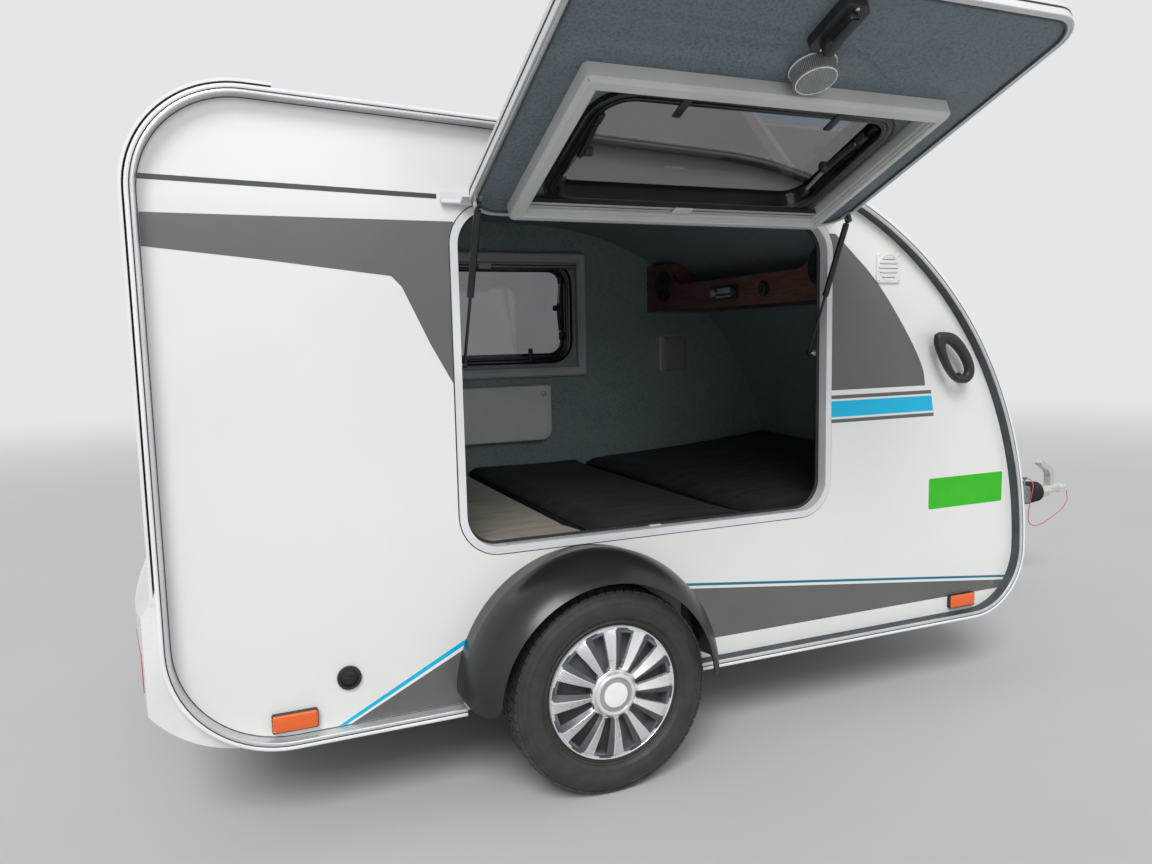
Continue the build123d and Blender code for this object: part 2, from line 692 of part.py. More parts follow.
def lower_bracket(side):
    jamb = OPENING_FRONT_X if side > 0 else OPENING_REAR_X
    y_pin = -BODY_HALF_WIDTH + STRUT_LOWER_DEPTH
    y_base = -INNER_Y + 2
    near = jamb + side * LUG_JAMB_GAP
    lug_x = sorted((near, near + side * LUG_SHEET))
    base_x = sorted((near, near + side * LUG_BASE))
    base = block(*base_x, y_base, y_base + LUG_SHEET, STRUT_LOWER_Z - LUG_BASE, STRUT_LOWER_Z + LUG_BASE)
    lug = block(*lug_x, y_base, y_pin + LUG_ROUND, STRUT_LOWER_Z - LUG_ROUND, STRUT_LOWER_Z + LUG_ROUND)
    stud_end = strut_plane(side) + side * (STRUT_EYE_WIDTH / 2 + 0.5)
    stud = rod((stud_end, y_pin, STRUT_LOWER_Z), (near, y_pin, STRUT_LOWER_Z), STRUT_PIN_RADIUS)
    return base + lug + stud


def upper_bracket(side):
    """The strut's stud on the door, drawn on the closed door."""
    x = strut_plane(side)
    y_pin = -BODY_HALF_WIDTH + STRUT_UPPER_DEPTH
    z_pin = HINGE_Z - STRUT_UPPER_DROP
    y_base = -INNER_Y + DOOR_SHEET
    near = x + side * (STRUT_EYE_WIDTH / 2 + OVERCUT)
    far = near + side * LUG_SHEET
    base_x = sorted((x - side * LUG_ROUND, far))
    base = block(*base_x, y_base, y_base + LUG_SHEET, z_pin - LUG_BASE, z_pin + LUG_BASE)
    lug = block(*sorted((near, far)), y_base, y_pin + LUG_ROUND, z_pin - LUG_ROUND, z_pin + LUG_ROUND)
    stud_end = x - side * (STRUT_EYE_WIDTH / 2 + OVERCUT)
    stud = rod((stud_end, y_pin, z_pin), (far, y_pin, z_pin), STRUT_PIN_RADIUS)
    return base + lug + stud


def make_strut(side, name):
    x = strut_plane(side)
    uy, uz = opened_point(-BODY_HALF_WIDTH + STRUT_UPPER_DEPTH, HINGE_Z - STRUT_UPPER_DROP)
    ly, lz = -BODY_HALF_WIDTH + STRUT_LOWER_DEPTH, STRUT_LOWER_Z
    length = hypot(ly - uy, lz - uz)
    dy, dz = (ly - uy) / length, (lz - uz) / length

    def along(d):
        return (x, uy + dy * d, uz + dz * d)

    half = STRUT_EYE_WIDTH / 2
    eye = rod((x - half, uy, uz), (x + half, uy, uz), STRUT_EYE_RADIUS)
    tube = rod(along(14), along(STRUT_TUBE_LENGTH), STRUT_TUBE_RADIUS) + eye
    tube += rod(along(0), along(16), half - 0.8)
    tube -= rod((x - 20, uy, uz), (x + 20, uy, uz), STRUT_PIN_RADIUS + RUNNING_GAP)
    hole_start = STRUT_TUBE_LENGTH - STRUT_BORE_DEPTH
    rod_hole = rod(along(hole_start), along(STRUT_TUBE_LENGTH + OVERCUT), STRUT_ROD_RADIUS + RUNNING_GAP)
    parts["strut_tube_" + name] = tube - rod_hole
    end_eye = rod((x - half, ly, lz), (x + half, ly, lz), STRUT_EYE_RADIUS)
    bar_start = along(STRUT_TUBE_LENGTH - STRUT_ROD_OVERLAP)
    bar = rod(bar_start, along(length - STRUT_ROD_RADIUS), STRUT_ROD_RADIUS)
    socket = rod(along(length - 22), along(length - 5), STRUT_ROD_RADIUS + 1.0)
    parts["strut_rod_" + name] = bar + socket + end_eye


def make_door():
    outer_y = -BODY_HALF_WIDTH
    inner_y = -INNER_Y
    panel = ring(door_shape(-DOOR_SHEET), door_window_shape(0), outer_y, inner_y)
    parts["door_panel"] = open_door(panel)
    edge = ring(door_shape(0), door_shape(-DOOR_SHEET), outer_y - DOOR_SHEET, inner_y + DOOR_SHEET)
    edge += ring(door_shape(0), door_shape(-DOOR_EDGE_LIP), outer_y - DOOR_SHEET, outer_y)
    edge += ring(door_shape(0), door_shape(-DOOR_EDGE_LIP), inner_y, inner_y + DOOR_SHEET)
    parts["door_edge"] = open_door(edge + hinge_leaf())
    parts["door_brackets"] = open_door(Compound([upper_bracket(-1), upper_bracket(1)]))
    make_window("door", door_window_shape, WINDOW_CENTRE_X, WINDOW_CENTRE_Z, -1, open_door)
    lamp_z = OPENING_LOW_Z + LAMP_RISE
    lamp = rod((LAMP_X, inner_y, lamp_z), (LAMP_X, inner_y + LAMP_DEPTH, lamp_z), LAMP_RADIUS)
    lamp = fillet(lamp.edges().group_by(Axis.Y)[-1], LAMP_DEPTH / 3)
    parts["door_lamp"] = open_door(lamp)
    latch_z = OPENING_LOW_Z + LATCH_RISE
    body_top = inner_y + LATCH_DEPTH
    body = plate(latch_z, LATCH_WIDTH, LATCH_LENGTH, inner_y, body_top)
    lever = plate(latch_z, LATCH_LEVER_WIDTH, LATCH_LEVER_LENGTH, body_top, body_top + LATCH_LEVER_DEPTH)
    outer = plate(latch_z, OUTER_LATCH_LENGTH, OUTER_LATCH_WIDTH, outer_y - OUTER_LATCH_DEPTH, outer_y)
    parts["door_latch"] = open_door(Compound([body + lever, outer]))


def plate(centre_z, width, height, y0, y1):
    """A flat piece on the door's middle line, with corners rounded by a third of its smaller side."""
    shape = Pos(WINDOW_CENTRE_X, centre_z) * RectangleRounded(width, height, min(width, height) / 3)
    return slab(shape, y0, y1)


def hinge_leaf():
    """The hook round the rail's bead, and the leaf that carries the closed door."""
    x0 = OPENING_REAR_X + PART_GAP + DOOR_SHEET
    x1 = OPENING_FRONT_X - PART_GAP - DOOR_SHEET
    inner = BEAD_RADIUS + HOOK_GAP
    outer = inner + HOOK_WALL
    hook = Circle(outer) - Circle(inner)
    mouth = make_face(Polyline((0, 0), (MOUTH_REACH, -MOUTH_LOW), (MOUTH_REACH, MOUTH_REACH),
                               (-MOUTH_REACH, MOUTH_REACH), (-MOUTH_REACH, MOUTH_LOW), close=True))
    hook = Pos(HINGE_Y, HINGE_Z) * (hook - mouth)
    door_top = OPENING_TOP_Z - PART_GAP
    foot_low = door_top - LEAF_FOOT_DROP
    leaf_top = HINGE_Z - inner - SEAT_GAP
    leaf_y = -BODY_HALF_WIDTH - LEAF_STAND
    leaf = box_sketch(leaf_y - LEAF_SHEET, leaf_y, foot_low, leaf_top)
    foot = box_sketch(leaf_y, -BODY_HALF_WIDTH - DOOR_SHEET, foot_low, foot_low + LEAF_FOOT_HEIGHT)
    return cross_slab(hook + leaf, x0, x1) + cross_slab(foot, OPENING_REAR_X + OPENING_RADIUS,
                                                        OPENING_FRONT_X - OPENING_RADIUS)


def make_window(name, shape, centre_x, centre_z, side, place):
    """A window's outer pane, its deep black bezel and the blind frame inside."""
    outer = side * BODY_HALF_WIDTH
    inner = side * INNER_Y

    def between(a, b):
        return sorted((a, b))

    gasket = ring(shape(PANE_OVERLAP - GASKET_INSET), shape(-BEZEL_WIDTH),
                  *between(outer, outer + side * PANE_STAND))
    bezel = ring(shape(-SEAT_GAP), shape(-BEZEL_WIDTH), *between(inner - side * BEZEL_STAND, outer))
    lip = ring(shape(BEZEL_LIP), shape(-BEZEL_WIDTH), *between(inner, inner - side * BEZEL_STAND))
    parts[name + "_window_frame"] = place(gasket + bezel + lip)
    pane_y = outer + side * (PANE_STAND + SEAT_GAP)
    pane = slab(shape(PANE_OVERLAP), *between(pane_y, pane_y + side * PANE_THICKNESS))
    parts[name + "_window_pane"] = place(pane)
    frame_z = centre_z - BLIND_DROP
    half_width, half_height = BLIND_WIDTH / 2, BLIND_HEIGHT / 2
    outline = window_shape(centre_x - half_width, centre_x + half_width,
                           frame_z - half_height, frame_z + half_height, BLIND_CORNER)
    half_width -= BLIND_BORDER
    half_height -= BLIND_BORDER
    hole = window_shape(centre_x - half_width, centre_x + half_width,
                        frame_z - half_height, frame_z + half_height, BLIND_INNER_CORNER)
    blind = ring(outline, hole, *between(inner - side * SEAT_GAP, inner - side * BLIND_DEPTH))
    relief_y = inner - side * (BEZEL_STAND + PART_GAP / 2)
    relief = slab(shape(BEZEL_LIP + PART_GAP / 2), *between(inner, relief_y))
    parts[name + "_blind_frame"] = place(blind - relief)


# Running gear

def tyre_shape(radius, bead, width, grooves, crown):
    """A tyre standing on the Y axis, as one turned section with round shoulders."""
    half = width / 2
    tread = half * crown
    corner = min(TREAD_CORNER, (radius - bead) / 3)
    side = [(bead, half * BEAD_SHARE), (bead + (radius - bead) * 0.45, half), (radius - corner, tread)]
    edge = (radius, tread - corner * 1.25)
    section = [Line((bead, -side[0][1]), side[0]),
               ThreePointArc(*side),
               Line(side[2], edge),
               Line(edge, (edge[0], -edge[1])),
               Line((edge[0], -edge[1]), (side[2][0], -side[2][1])),
               ThreePointArc(*[(r, -y) for r, y in reversed(side)])]
    profile = make_face(section)
    for y in grooves:
        profile -= Pos(radius, y) * Rectangle(2 * GROOVE_DEPTH, GROOVE_WIDTH)
    return revolve(profile, Axis.Y)


def turned(points):
    """A solid of revolution about the Y axis from points of radius and y."""
    return revolve(make_face(Polyline(*points, close=True)), Axis.Y)


def make_wheel(side, name):
    place = Pos(0, side * WHEEL_CENTRE_Y, WHEEL_RADIUS)
    bead, well = RIM_RADIUS, RIM_RADIUS - RIM_SHEET
    grooves = (-GROOVE_PITCH, 0, GROOVE_PITCH)
    tyre = tyre_shape(WHEEL_RADIUS, bead + SEAT_GAP, TYRE_WIDTH, grooves, 0.80)
    flange = TYRE_WIDTH / 2 * BEAD_SHARE + RIM_FLANGE + 2
    end = flange + RIM_LIP
    rim = turned([(well, -end), (bead, -end), (bead, end), (well, end)])
    for way in (-1, 1):
        rim += turned([(well, way * (flange + 1)), (bead + RIM_FLANGE, way * (flange + 1)),
                       (bead + RIM_FLANGE, way * (flange + RIM_LIP / 2)), (well, way * end)])
    edge_y = DISC_DISH - RIM_SHEET
    disc = turned([(DISC_INNER_RADIUS, side * DISC_DISH), (DISC_INNER_RADIUS, side * (DISC_DISH + RIM_SHEET)),
                   (well + 2, side * edge_y), (well + 2, side * (edge_y - RIM_SHEET - 2))])
    bore = STUB_RADIUS + RUNNING_GAP
    hub = turned([(bore, -side * DRUM_REACH), (DRUM_RADIUS, -side * DRUM_REACH),
                  (DRUM_RADIUS, -side * PART_GAP), (HUB_RADIUS, side * 2), (HUB_RADIUS, side * HUB_REACH),
                  (bore, side * HUB_REACH)])
    parts["tyre_" + name] = place * tyre
    parts["wheel_rim_" + name] = place * (rim + disc + hub)
    parts["wheel_cover_" + name] = place * wheel_cover(side, end + SEAT_GAP)


def wheel_cover(side, seat):
    """A dished disc with twelve tapered spokes, a thin rim ring and a raised hub."""
    front = TYRE_WIDTH / 2 - 4
    hub, bed = COVER_HUB_RADIUS, RIM_RADIUS - RIM_SHEET
    dish = [(0, front + 2), (hub, front + 2), (hub + 8, front - 5), (COVER_RADIUS - 12, front),
            (COVER_RADIUS - 3, front - 1), (COVER_RADIUS, front - 4), (COVER_RADIUS, seat + 2),
            (RIM_RADIUS + RIM_FLANGE - 2, seat), (bed + 4, seat), (bed, seat + 1),
            (hub + 6, front - COVER_SHEET), (0, front - COVER_SHEET)]
    cover = turned(dish)
    step = 360 / COVER_SPOKES
    gap_inner, gap_outer = hub + 12, COVER_RADIUS - 16
    low, high = SPOKE_GAP_INNER / 2, SPOKE_GAP_OUTER / 2
    slot = make_face(Polyline((gap_inner, -low), (gap_outer, -high), (gap_outer, high), (gap_inner, low),
                              close=True))
    slot = fillet(slot.vertices(), SPOKE_GAP_INNER / 4)
    ridge_start, ridge_end = hub + 10, COVER_RADIUS - 18
    ridge = make_face(Polyline((ridge_start, -3), (ridge_end, -11), (ridge_end, -3), (ridge_start, 1),
                               close=True))
    for index in range(COVER_SPOKES):
        cover -= slab(Rot(0, 0, step * (index + 0.5)) * slot, seat - COVER_SHEET, front + COVER_SHEET)
        cover += slab(Rot(0, 0, step * index) * ridge, front - 7, front + SPOKE_RIDGE_STAND)
    cover += turned([(COVER_RING_RADIUS - 8, front + 2), (COVER_RING_RADIUS, front + 10),
                     (hub - 2, front + 7), (hub, front)])
    cover += rod((0, front + 1, 0), (0, front + 8, 0), COVER_DISC_RADIUS)
    if side < 0:
        cover = mirrored(cover)
    return cover


def make_axle():
    beam_y = INNER_Y - AXLE_WALL_GAP
    beam_low = RAIL_LOW_Z - AXLE_TUBE
    beam = block(AXLE_LEAD - AXLE_TUBE / 2, AXLE_LEAD + AXLE_TUBE / 2, -beam_y, beam_y, beam_low, RAIL_LOW_Z)
    arm_y = beam_y + AXLE_ARM_WIDTH
    beam_z = beam_low + AXLE_TUBE / 2
    drop = Vector(-AXLE_LEAD, 0, WHEEL_RADIUS - beam_z)
    angle = degrees(atan2(-drop.Z, -drop.X))
    for side in (-1, 1):
        y0, y1 = sorted((side * beam_y, side * arm_y))
        boss = slab(Pos(AXLE_LEAD, beam_z) * Circle(AXLE_BOSS_RADIUS), y0, y1)
        end = slab(Pos(0, WHEEL_RADIUS) * Circle(AXLE_END_RADIUS), y0, y1)
        web = slab(Pos(AXLE_LEAD / 2, (beam_z + WHEEL_RADIUS) / 2) * Rot(0, 0, angle)
                   * Rectangle(drop.length, AXLE_ARM_HEIGHT), y0, y1)
        stub_end = side * (WHEEL_CENTRE_Y + STUB_REACH)
        stub = rod((0, side * beam_y, WHEEL_RADIUS), (0, stub_end, WHEEL_RADIUS), STUB_RADIUS)
        beam += boss + end + web + stub
    parts["axle_beam"] = beam


def make_fenders():
    """A moulded arch over each wheel, a bulbous section turned about the wheel."""
    wall = BODY_HALF_WIDTH
    outer_r, inner_r, sheet = FENDER_OUTER_RADIUS, FENDER_INNER_RADIUS, FENDER_SHEET
    lip_y = wall + FENDER_REACH
    round_y = FENDER_ROUND_Y
    outside = [Line((outer_r - 6, wall), (outer_r, wall + round_y)),
               TangentArc((outer_r, wall + round_y), (inner_r, lip_y), tangent=(0, 1)),
               Line((inner_r, lip_y), (inner_r, lip_y - sheet * 1.4)),
               TangentArc((outer_r - sheet, wall + round_y), (inner_r, lip_y - sheet * 1.4), tangent=(0, 1)),
               Line((outer_r - sheet, wall + round_y), (outer_r - 6 - sheet, wall)),
               Line((outer_r - 6 - sheet, wall), (outer_r - 6, wall))]
    section = make_face(outside)
    upward = Axis((0, 0, 0), (0, -1, 0))
    arch = revolve(section, upward, revolution_arc=FENDER_ARC).rotate(upward, (180 - FENDER_ARC) / 2)
    left = Pos(FENDER_CENTRE_X, 0, FENDER_CENTRE_Z) * arch
    low = FENDER_CENTRE_Z + inner_r * sin(radians((180 - FENDER_ARC) / 2))
    for corner_x, inward in ((-outer_r, 1), (-inner_r, -1), (inner_r, 1), (outer_r, -1)):
        left -= slab(tip_cut(FENDER_CENTRE_X + corner_x, low, inward), wall - 1, lip_y + 1)
    parts["fenders"] = pair(left)


def tip_cut(corner_x, low, inward):
    """What a round corner leaves out of a square one, at the low end of a fender."""
    centre_x = corner_x + inward * FENDER_TIP_ROUND
    x0, x1 = sorted((centre_x, corner_x - inward))
    square = box_sketch(x0, x1, low - 1, low + FENDER_TIP_ROUND)
    return square - Pos(centre_x, low + FENDER_TIP_ROUND) * Circle(FENDER_TIP_ROUND)


# Chassis and drawbar

def make_chassis():
    top = RAIL_LOW_Z + RAIL_HEIGHT
    half, cross_half = RAIL_WIDTH / 2, CROSS_WIDTH / 2
    frame = block(RAIL_REAR_X, RAIL_FRONT_X, RAIL_Y - half, RAIL_Y + half, RAIL_LOW_Z, top)
    frame += mirrored(frame)
    rear_x, front_x = RAIL_REAR_X + cross_half, RAIL_FRONT_X - cross_half
    for x in (rear_x, CROSS_REAR_X, CROSS_MIDDLE_X, CROSS_FRONT_X, front_x):
        frame += block(x - cross_half, x + cross_half, -RAIL_Y, RAIL_Y, RAIL_LOW_Z + CROSS_DROP, top)
    parts["chassis_frame"] = frame
    z = RAIL_LOW_Z + DRAWBAR_TUBE / 2
    start, end = (RAIL_FRONT_X + 2, RAIL_Y, z), (DRAWBAR_END_X, DRAWBAR_END_Y, z)
    arm = square_bar(start, end, DRAWBAR_TUBE, DRAWBAR_TUBE)
    arm = (arm & block(RAIL_FRONT_X, FAR, -FAR, FAR, 0, FAR)).solids()[0]
    arm -= block(DRAWBAR_END_X - ARM_OVERLAP, FAR, -HOUSING_HALF_WIDTH, HOUSING_HALF_WIDTH, 0, FAR)
    parts["drawbar_arms"] = pair(arm)


def make_coupling():
    z = COUPLING_Z
    x0, x1 = DRAWBAR_END_X - HOUSING_OVERLAP, HOUSING_FRONT_X
    housing = block(x0, x1, -HOUSING_HALF_WIDTH, HOUSING_HALF_WIDTH, z - HOUSING_DROP, z + HOUSING_RISE)
    housing = fillet(housing.edges().filter_by(Axis.X), HOUSING_CORNER)
    collar = rod((x1 - COLLAR_LENGTH, 0, z), (x1 + COLLAR_STAND, 0, z), COLLAR_RADIUS)
    parts["overrun_housing"] = housing + collar + guide_eye(x1 - CABLE_EYE_SETBACK, z + HOUSING_RISE)
    gaiter_x0 = x1 + COLLAR_STAND + SEAT_GAP
    gaiter_x1 = x1 + COLLAR_STAND + GAITER_LENGTH
    pitch = (gaiter_x1 - gaiter_x0) / GAITER_FOLDS
    bore = SHAFT_RADIUS + SEAT_GAP
    points = [(gaiter_x0, bore)]
    for index in range(GAITER_FOLDS):
        start = gaiter_x0 + pitch * index
        crest = GAITER_RADIUS * (1.0 - GAITER_TAPER * index / GAITER_FOLDS)
        points += [(start, crest * 0.82), (start + pitch * 0.5, crest)]
    points += [(gaiter_x1, GAITER_RADIUS * 0.68), (gaiter_x1, bore)]
    gaiter = revolve(make_face(Polyline(*points, close=True)), Axis.X)
    parts["drawbar_gaiter"] = Pos(0, 0, z) * gaiter
    make_head(gaiter_x1, z)


def guide_eye(x, z):
    """A post on the housing with a short barrel that the cable comes out of."""
    top = z + CABLE_EYE_RISE
    post = rod((x, CABLE_EYE_Y, z - PART_GAP), (x, CABLE_EYE_Y, top), CABLE_EYE_RADIUS * 0.7)
    half = CABLE_EYE_RADIUS * 2
    return post + rod((x, CABLE_EYE_Y + half, top), (x, CABLE_EYE_Y - half, top), CABLE_EYE_RADIUS)


def make_cable():
    """The cable's tube: straight runs joined by arcs as large as the shorter run beside each allows."""
    points = [Vector(*p) for p in CABLE_ROUTE]
    runs = [b - a for a, b in zip(points, points[1:])]
    radii = [0.45 * min(a.length, b.length) / tan(radians(a.get_angle(b)) / 2) for a, b in zip(runs, runs[1:])]
    print("cable radii", [round(r) for r in radii])
    path = FilletPolyline(*points, radius=radii)
    start = Plane(origin=points[0], z_dir=runs[0])
    tube = sweep(start * Circle(CABLE_RADIUS), path=path)
    print("cable length", round(path.length, 1), "volume over section and length",
          round(tube.volume / (path.length * pi * CABLE_RADIUS ** 2), 4))
    parts["breakaway_cable"] = tube


def make_head(gaiter_end, z):
    """The coupling head: a sleeve on the shaft, a pressed neck and a round cup for the tow ball."""
    top = z + HEAD_RISE
    shaft = rod((HOUSING_FRONT_X + COLLAR_STAND, 0, z), (gaiter_end + SLEEVE_LENGTH / 2, 0, z), SHAFT_RADIUS)
    sleeve_radius = SHAFT_RADIUS + SLEEVE_WALL
    sleeve = rod((gaiter_end + SEAT_GAP, 0, z), (gaiter_end + SLEEVE_LENGTH, 0, z), sleeve_radius)
    cup = rod((BALL_X, 0, z - HEAD_DROP), (BALL_X, 0, top), SOCKET_RADIUS + HEAD_WALL)
    neck = block(gaiter_end + NECK_START, BALL_X, -NECK_HALF_WIDTH, NECK_HALF_WIDTH, z - NECK_DROP, top)
    neck = fillet(neck.edges().filter_by(Axis.X), NECK_CORNER)
    head = sleeve + neck + fillet(cup.edges().group_by(Axis.Z)[-1], HEAD_RISE * 0.4) + shaft
    cup_low = z - HEAD_DROP
    lug_x = BALL_X + CABLE_LUG_LEAD
    lug = Pos((BALL_X + lug_x) / 2, CABLE_LUG_Y) * Rectangle(CABLE_LUG_LEAD, 2 * CABLE_LUG_RADIUS)
    lug += Pos(lug_x, CABLE_LUG_Y) * Circle(CABLE_LUG_RADIUS)
    head += Pos(0, 0, cup_low) * extrude(lug, amount=CABLE_LUG_HEIGHT)
    socket = rod((BALL_X, 0, cup_low - OVERCUT), (BALL_X, 0, cup_low + SOCKET_DEPTH), SOCKET_RADIUS)
    parts["coupling_head"] = head - socket
    handle = slab(coupling_handle(BALL_X - HANDLE_SETBACK, top), -HANDLE_WIDTH / 2, HANDLE_WIDTH / 2)
    brake = brake_lever(DRAWBAR_END_X + BRAKE_LEAD, z + HOUSING_RISE)
    parts["drawbar_levers"] = Compound([handle, brake])


def coupling_handle(x, z):
    """The head's handle from the side: it rises from the head, bends back and ends in a round tip."""
    half = HANDLE_THICKNESS / 2
    centre = (x - HANDLE_BEND, z + HANDLE_RISE)
    stem = box_sketch(x - half, x + half, z, z + HANDLE_RISE)
    start = on_circle(centre, FAR, 0)
    middle = on_circle(centre, FAR, HANDLE_TURN / 2)
    end = on_circle(centre, FAR, HANDLE_TURN)
    sector = make_face(Polyline(centre, start, middle, end, close=True))
    bend = Pos(*centre) * (Circle(HANDLE_BEND + half) - Circle(HANDLE_BEND - half)) & sector
    tip = on_circle(centre, HANDLE_BEND, HANDLE_TURN)
    turn = Pos(*tip) * Rot(0, 0, HANDLE_TURN + 90)
    tail = turn * Pos(HANDLE_TAIL / 2, 0) * Rectangle(HANDLE_TAIL, HANDLE_THICKNESS)
    return stem + bend + tail + turn * Pos(HANDLE_TAIL, 0) * Circle(half)


def brake_lever(x, z):
    """The parking brake: a flat tapered arm that leans back from the housing, with a round grip."""
    top_x, top_z = x - BRAKE_REACH, z + BRAKE_HEIGHT
    share = BRAKE_GRIP_LENGTH / hypot(BRAKE_REACH, BRAKE_HEIGHT)
    grip_x, grip_z = top_x + BRAKE_REACH * share, top_z - BRAKE_HEIGHT * share
    half = BRAKE_THICKNESS / 2
    arm = make_face(Polyline((x - BRAKE_FOOT / 2, z), (x + BRAKE_FOOT / 2, z), (grip_x + half, grip_z),
                             (grip_x + half, grip_z + half), (grip_x - half, grip_z + half),
                             (grip_x - half, grip_z), close=True))
    return slab(arm, -half, half) + rod((grip_x, 0, grip_z), (top_x, 0, top_z), BRAKE_GRIP_RADIUS)


def make_jockey():
    x, y = JOCKEY_X, JOCKEY_Y
    clamp_z, low, top = COUPLING_Z, JOCKEY_MAST_LOW_Z, JOCKEY_MAST_TOP_Z
    outer, inner = JOCKEY_OUTER_RADIUS, JOCKEY_OUTER_RADIUS - JOCKEY_WALL
    bore = rod((x, y, 0), (x, y, top - JOCKEY_HEAD), inner)
    cap_top = top + JOCKEY_CAP_HEIGHT
    mast = rod((x, y, low), (x, y, top), outer) + rod((x, y, top), (x, y, cap_top), JOCKEY_CAP_RADIUS)
    crank_end = (x, y + CRANK_LENGTH, cap_top + CRANK_RISE)
    mast += rod((x, y, cap_top), crank_end, CRANK_RADIUS)
    grip_y = y + CRANK_LENGTH - CRANK_RADIUS / 2
    mast += rod((x, grip_y, crank_end[2]), (x, grip_y, crank_end[2] + CRANK_GRIP_LENGTH), CRANK_GRIP_RADIUS)
    mast += rod((x, y, clamp_z - CLAMP_DROP), (x, y, clamp_z + CLAMP_RISE), outer + CLAMP_WALL)
    half_foot = CLAMP_FOOT_WIDTH / 2
    mast += block(x - half_foot, x + half_foot, HOUSING_HALF_WIDTH, y,
                  clamp_z - CLAMP_RISE, clamp_z + CLAMP_RISE - PART_GAP)
    parts["jockey_mast"] = mast - bore
    axle_z = JOCKEY_WHEEL_RADIUS
    fork_top = axle_z + JOCKEY_WHEEL_RADIUS + FORK_GAP
    leg_low = fork_top + FORK_SHEET + SEAT_GAP
    leg = rod((x, y, leg_low), (x, y, low + JOCKEY_OVERLAP), JOCKEY_INNER_RADIUS)
    leg += rod((x, y, leg_low), (x, y, leg_low + LEG_COLLAR_HEIGHT), JOCKEY_INNER_RADIUS + LEG_COLLAR_WALL)
    parts["jockey_leg"] = leg
    parts["jockey_fork"] = jockey_fork(x, y, axle_z, fork_top)
    tyre = tyre_shape(JOCKEY_WHEEL_RADIUS, JOCKEY_PIN_RADIUS + RUNNING_GAP, JOCKEY_WHEEL_WIDTH, (), 0.86)
    parts["jockey_wheel"] = Pos(x - JOCKEY_TRAIL, y, axle_z) * tyre


def jockey_fork(x, y, axle_z, top):
    """The fork over the jockey wheel: a crown, two tapered cheeks and the wheel's pin."""
    axle_x = x - JOCKEY_TRAIL
    inside = JOCKEY_WHEEL_WIDTH / 2 + FORK_CLEARANCE
    outside = inside + FORK_CHEEK
    rear, front = axle_x - 2.5 * JOCKEY_PIN_RADIUS, x + 3 * JOCKEY_PIN_RADIUS
    foot = 1.75 * JOCKEY_PIN_RADIUS
    cheek = make_face(Polyline((rear, top), (front - 2, top), (axle_x + foot, axle_z - foot),
                               (axle_x - foot, axle_z - foot), close=True))
    fork = block(rear, front, y - outside, y + outside, top - FORK_CHEEK, top + FORK_SHEET)
    for side in (-1, 1):
        fork += slab(cheek, *sorted((y + side * inside, y + side * outside)))
    reach = outside + FORK_CHEEK
    return fork + rod((axle_x, y - reach, axle_z), (axle_x, y + reach, axle_z), JOCKEY_PIN_RADIUS)


# Outside fittings

def make_bumper():
    rear = BODY_REAR_X - BUMPER_DEPTH
    radius = BUMPER_LEDGE_Z - BUMPER_LOW_Z
    centre_x = rear + radius
    bevel = BUMPER_LEDGE_BEVEL
    outer = [Line((BODY_REAR_X, BUMPER_TOP_Z), (BODY_REAR_X - BUMPER_TOP_DEPTH, BUMPER_TOP_Z)),
             Line((BODY_REAR_X - BUMPER_TOP_DEPTH, BUMPER_TOP_Z), (rear + bevel, BUMPER_LEDGE_Z + bevel)),
             Line((rear + bevel, BUMPER_LEDGE_Z + bevel), (rear, BUMPER_LEDGE_Z)),
             CenterArc((centre_x, BUMPER_LEDGE_Z), radius, 180, 90),
             Line((centre_x, BUMPER_LOW_Z), (centre_x, BUMPER_TOP_Z)),
             Line((centre_x, BUMPER_TOP_Z), (BODY_REAR_X, BUMPER_TOP_Z))]
    swept_rear = rear + BUMPER_SIDE_SWEEP
    half = BUMPER_HALF_WIDTH
    plan = make_face([ThreePointArc((swept_rear, -half), (rear, 0), (swept_rear, half)),
                      Polyline((swept_rear, half), (0, half), (0, -half), (swept_rear, -half))])
    whole = slab(make_face(outer), -half, half) & extrude(plan, amount=BUMPER_TOP_Z)
    bumper = whole - slab(body_outline(0), -half, half)
    lamps = []
    for side in (-1, 1):
        bumper -= tail_lamp_block(side, SEAT_GAP)
        lamps.append(tail_lamp_block(side, 0) & (Pos(-TAIL_LAMP_STAND, 0, 0) * whole))
    parts["rear_bumper"] = bumper
    parts["tail_lamps"] = Compound(lamps)


def tail_lamp_block(side, grow):
    """The place of a tail lamp, let into the bumper; the lamp's face follows the bumper's."""
    rear = BODY_REAR_X - BUMPER_DEPTH
    outline = Pos(side * TAIL_LAMP_Y, (TAIL_LAMP_LOW_Z + TAIL_LAMP_TOP_Z) / 2) * RectangleRounded(
        TAIL_LAMP_WIDTH + 2 * grow, TAIL_LAMP_TOP_Z - TAIL_LAMP_LOW_Z + 2 * grow, TAIL_LAMP_CORNER + grow)
    return cross_slab(outline, rear - BUMPER_SIDE_SWEEP, rear + TAIL_LAMP_DEPTH + grow)


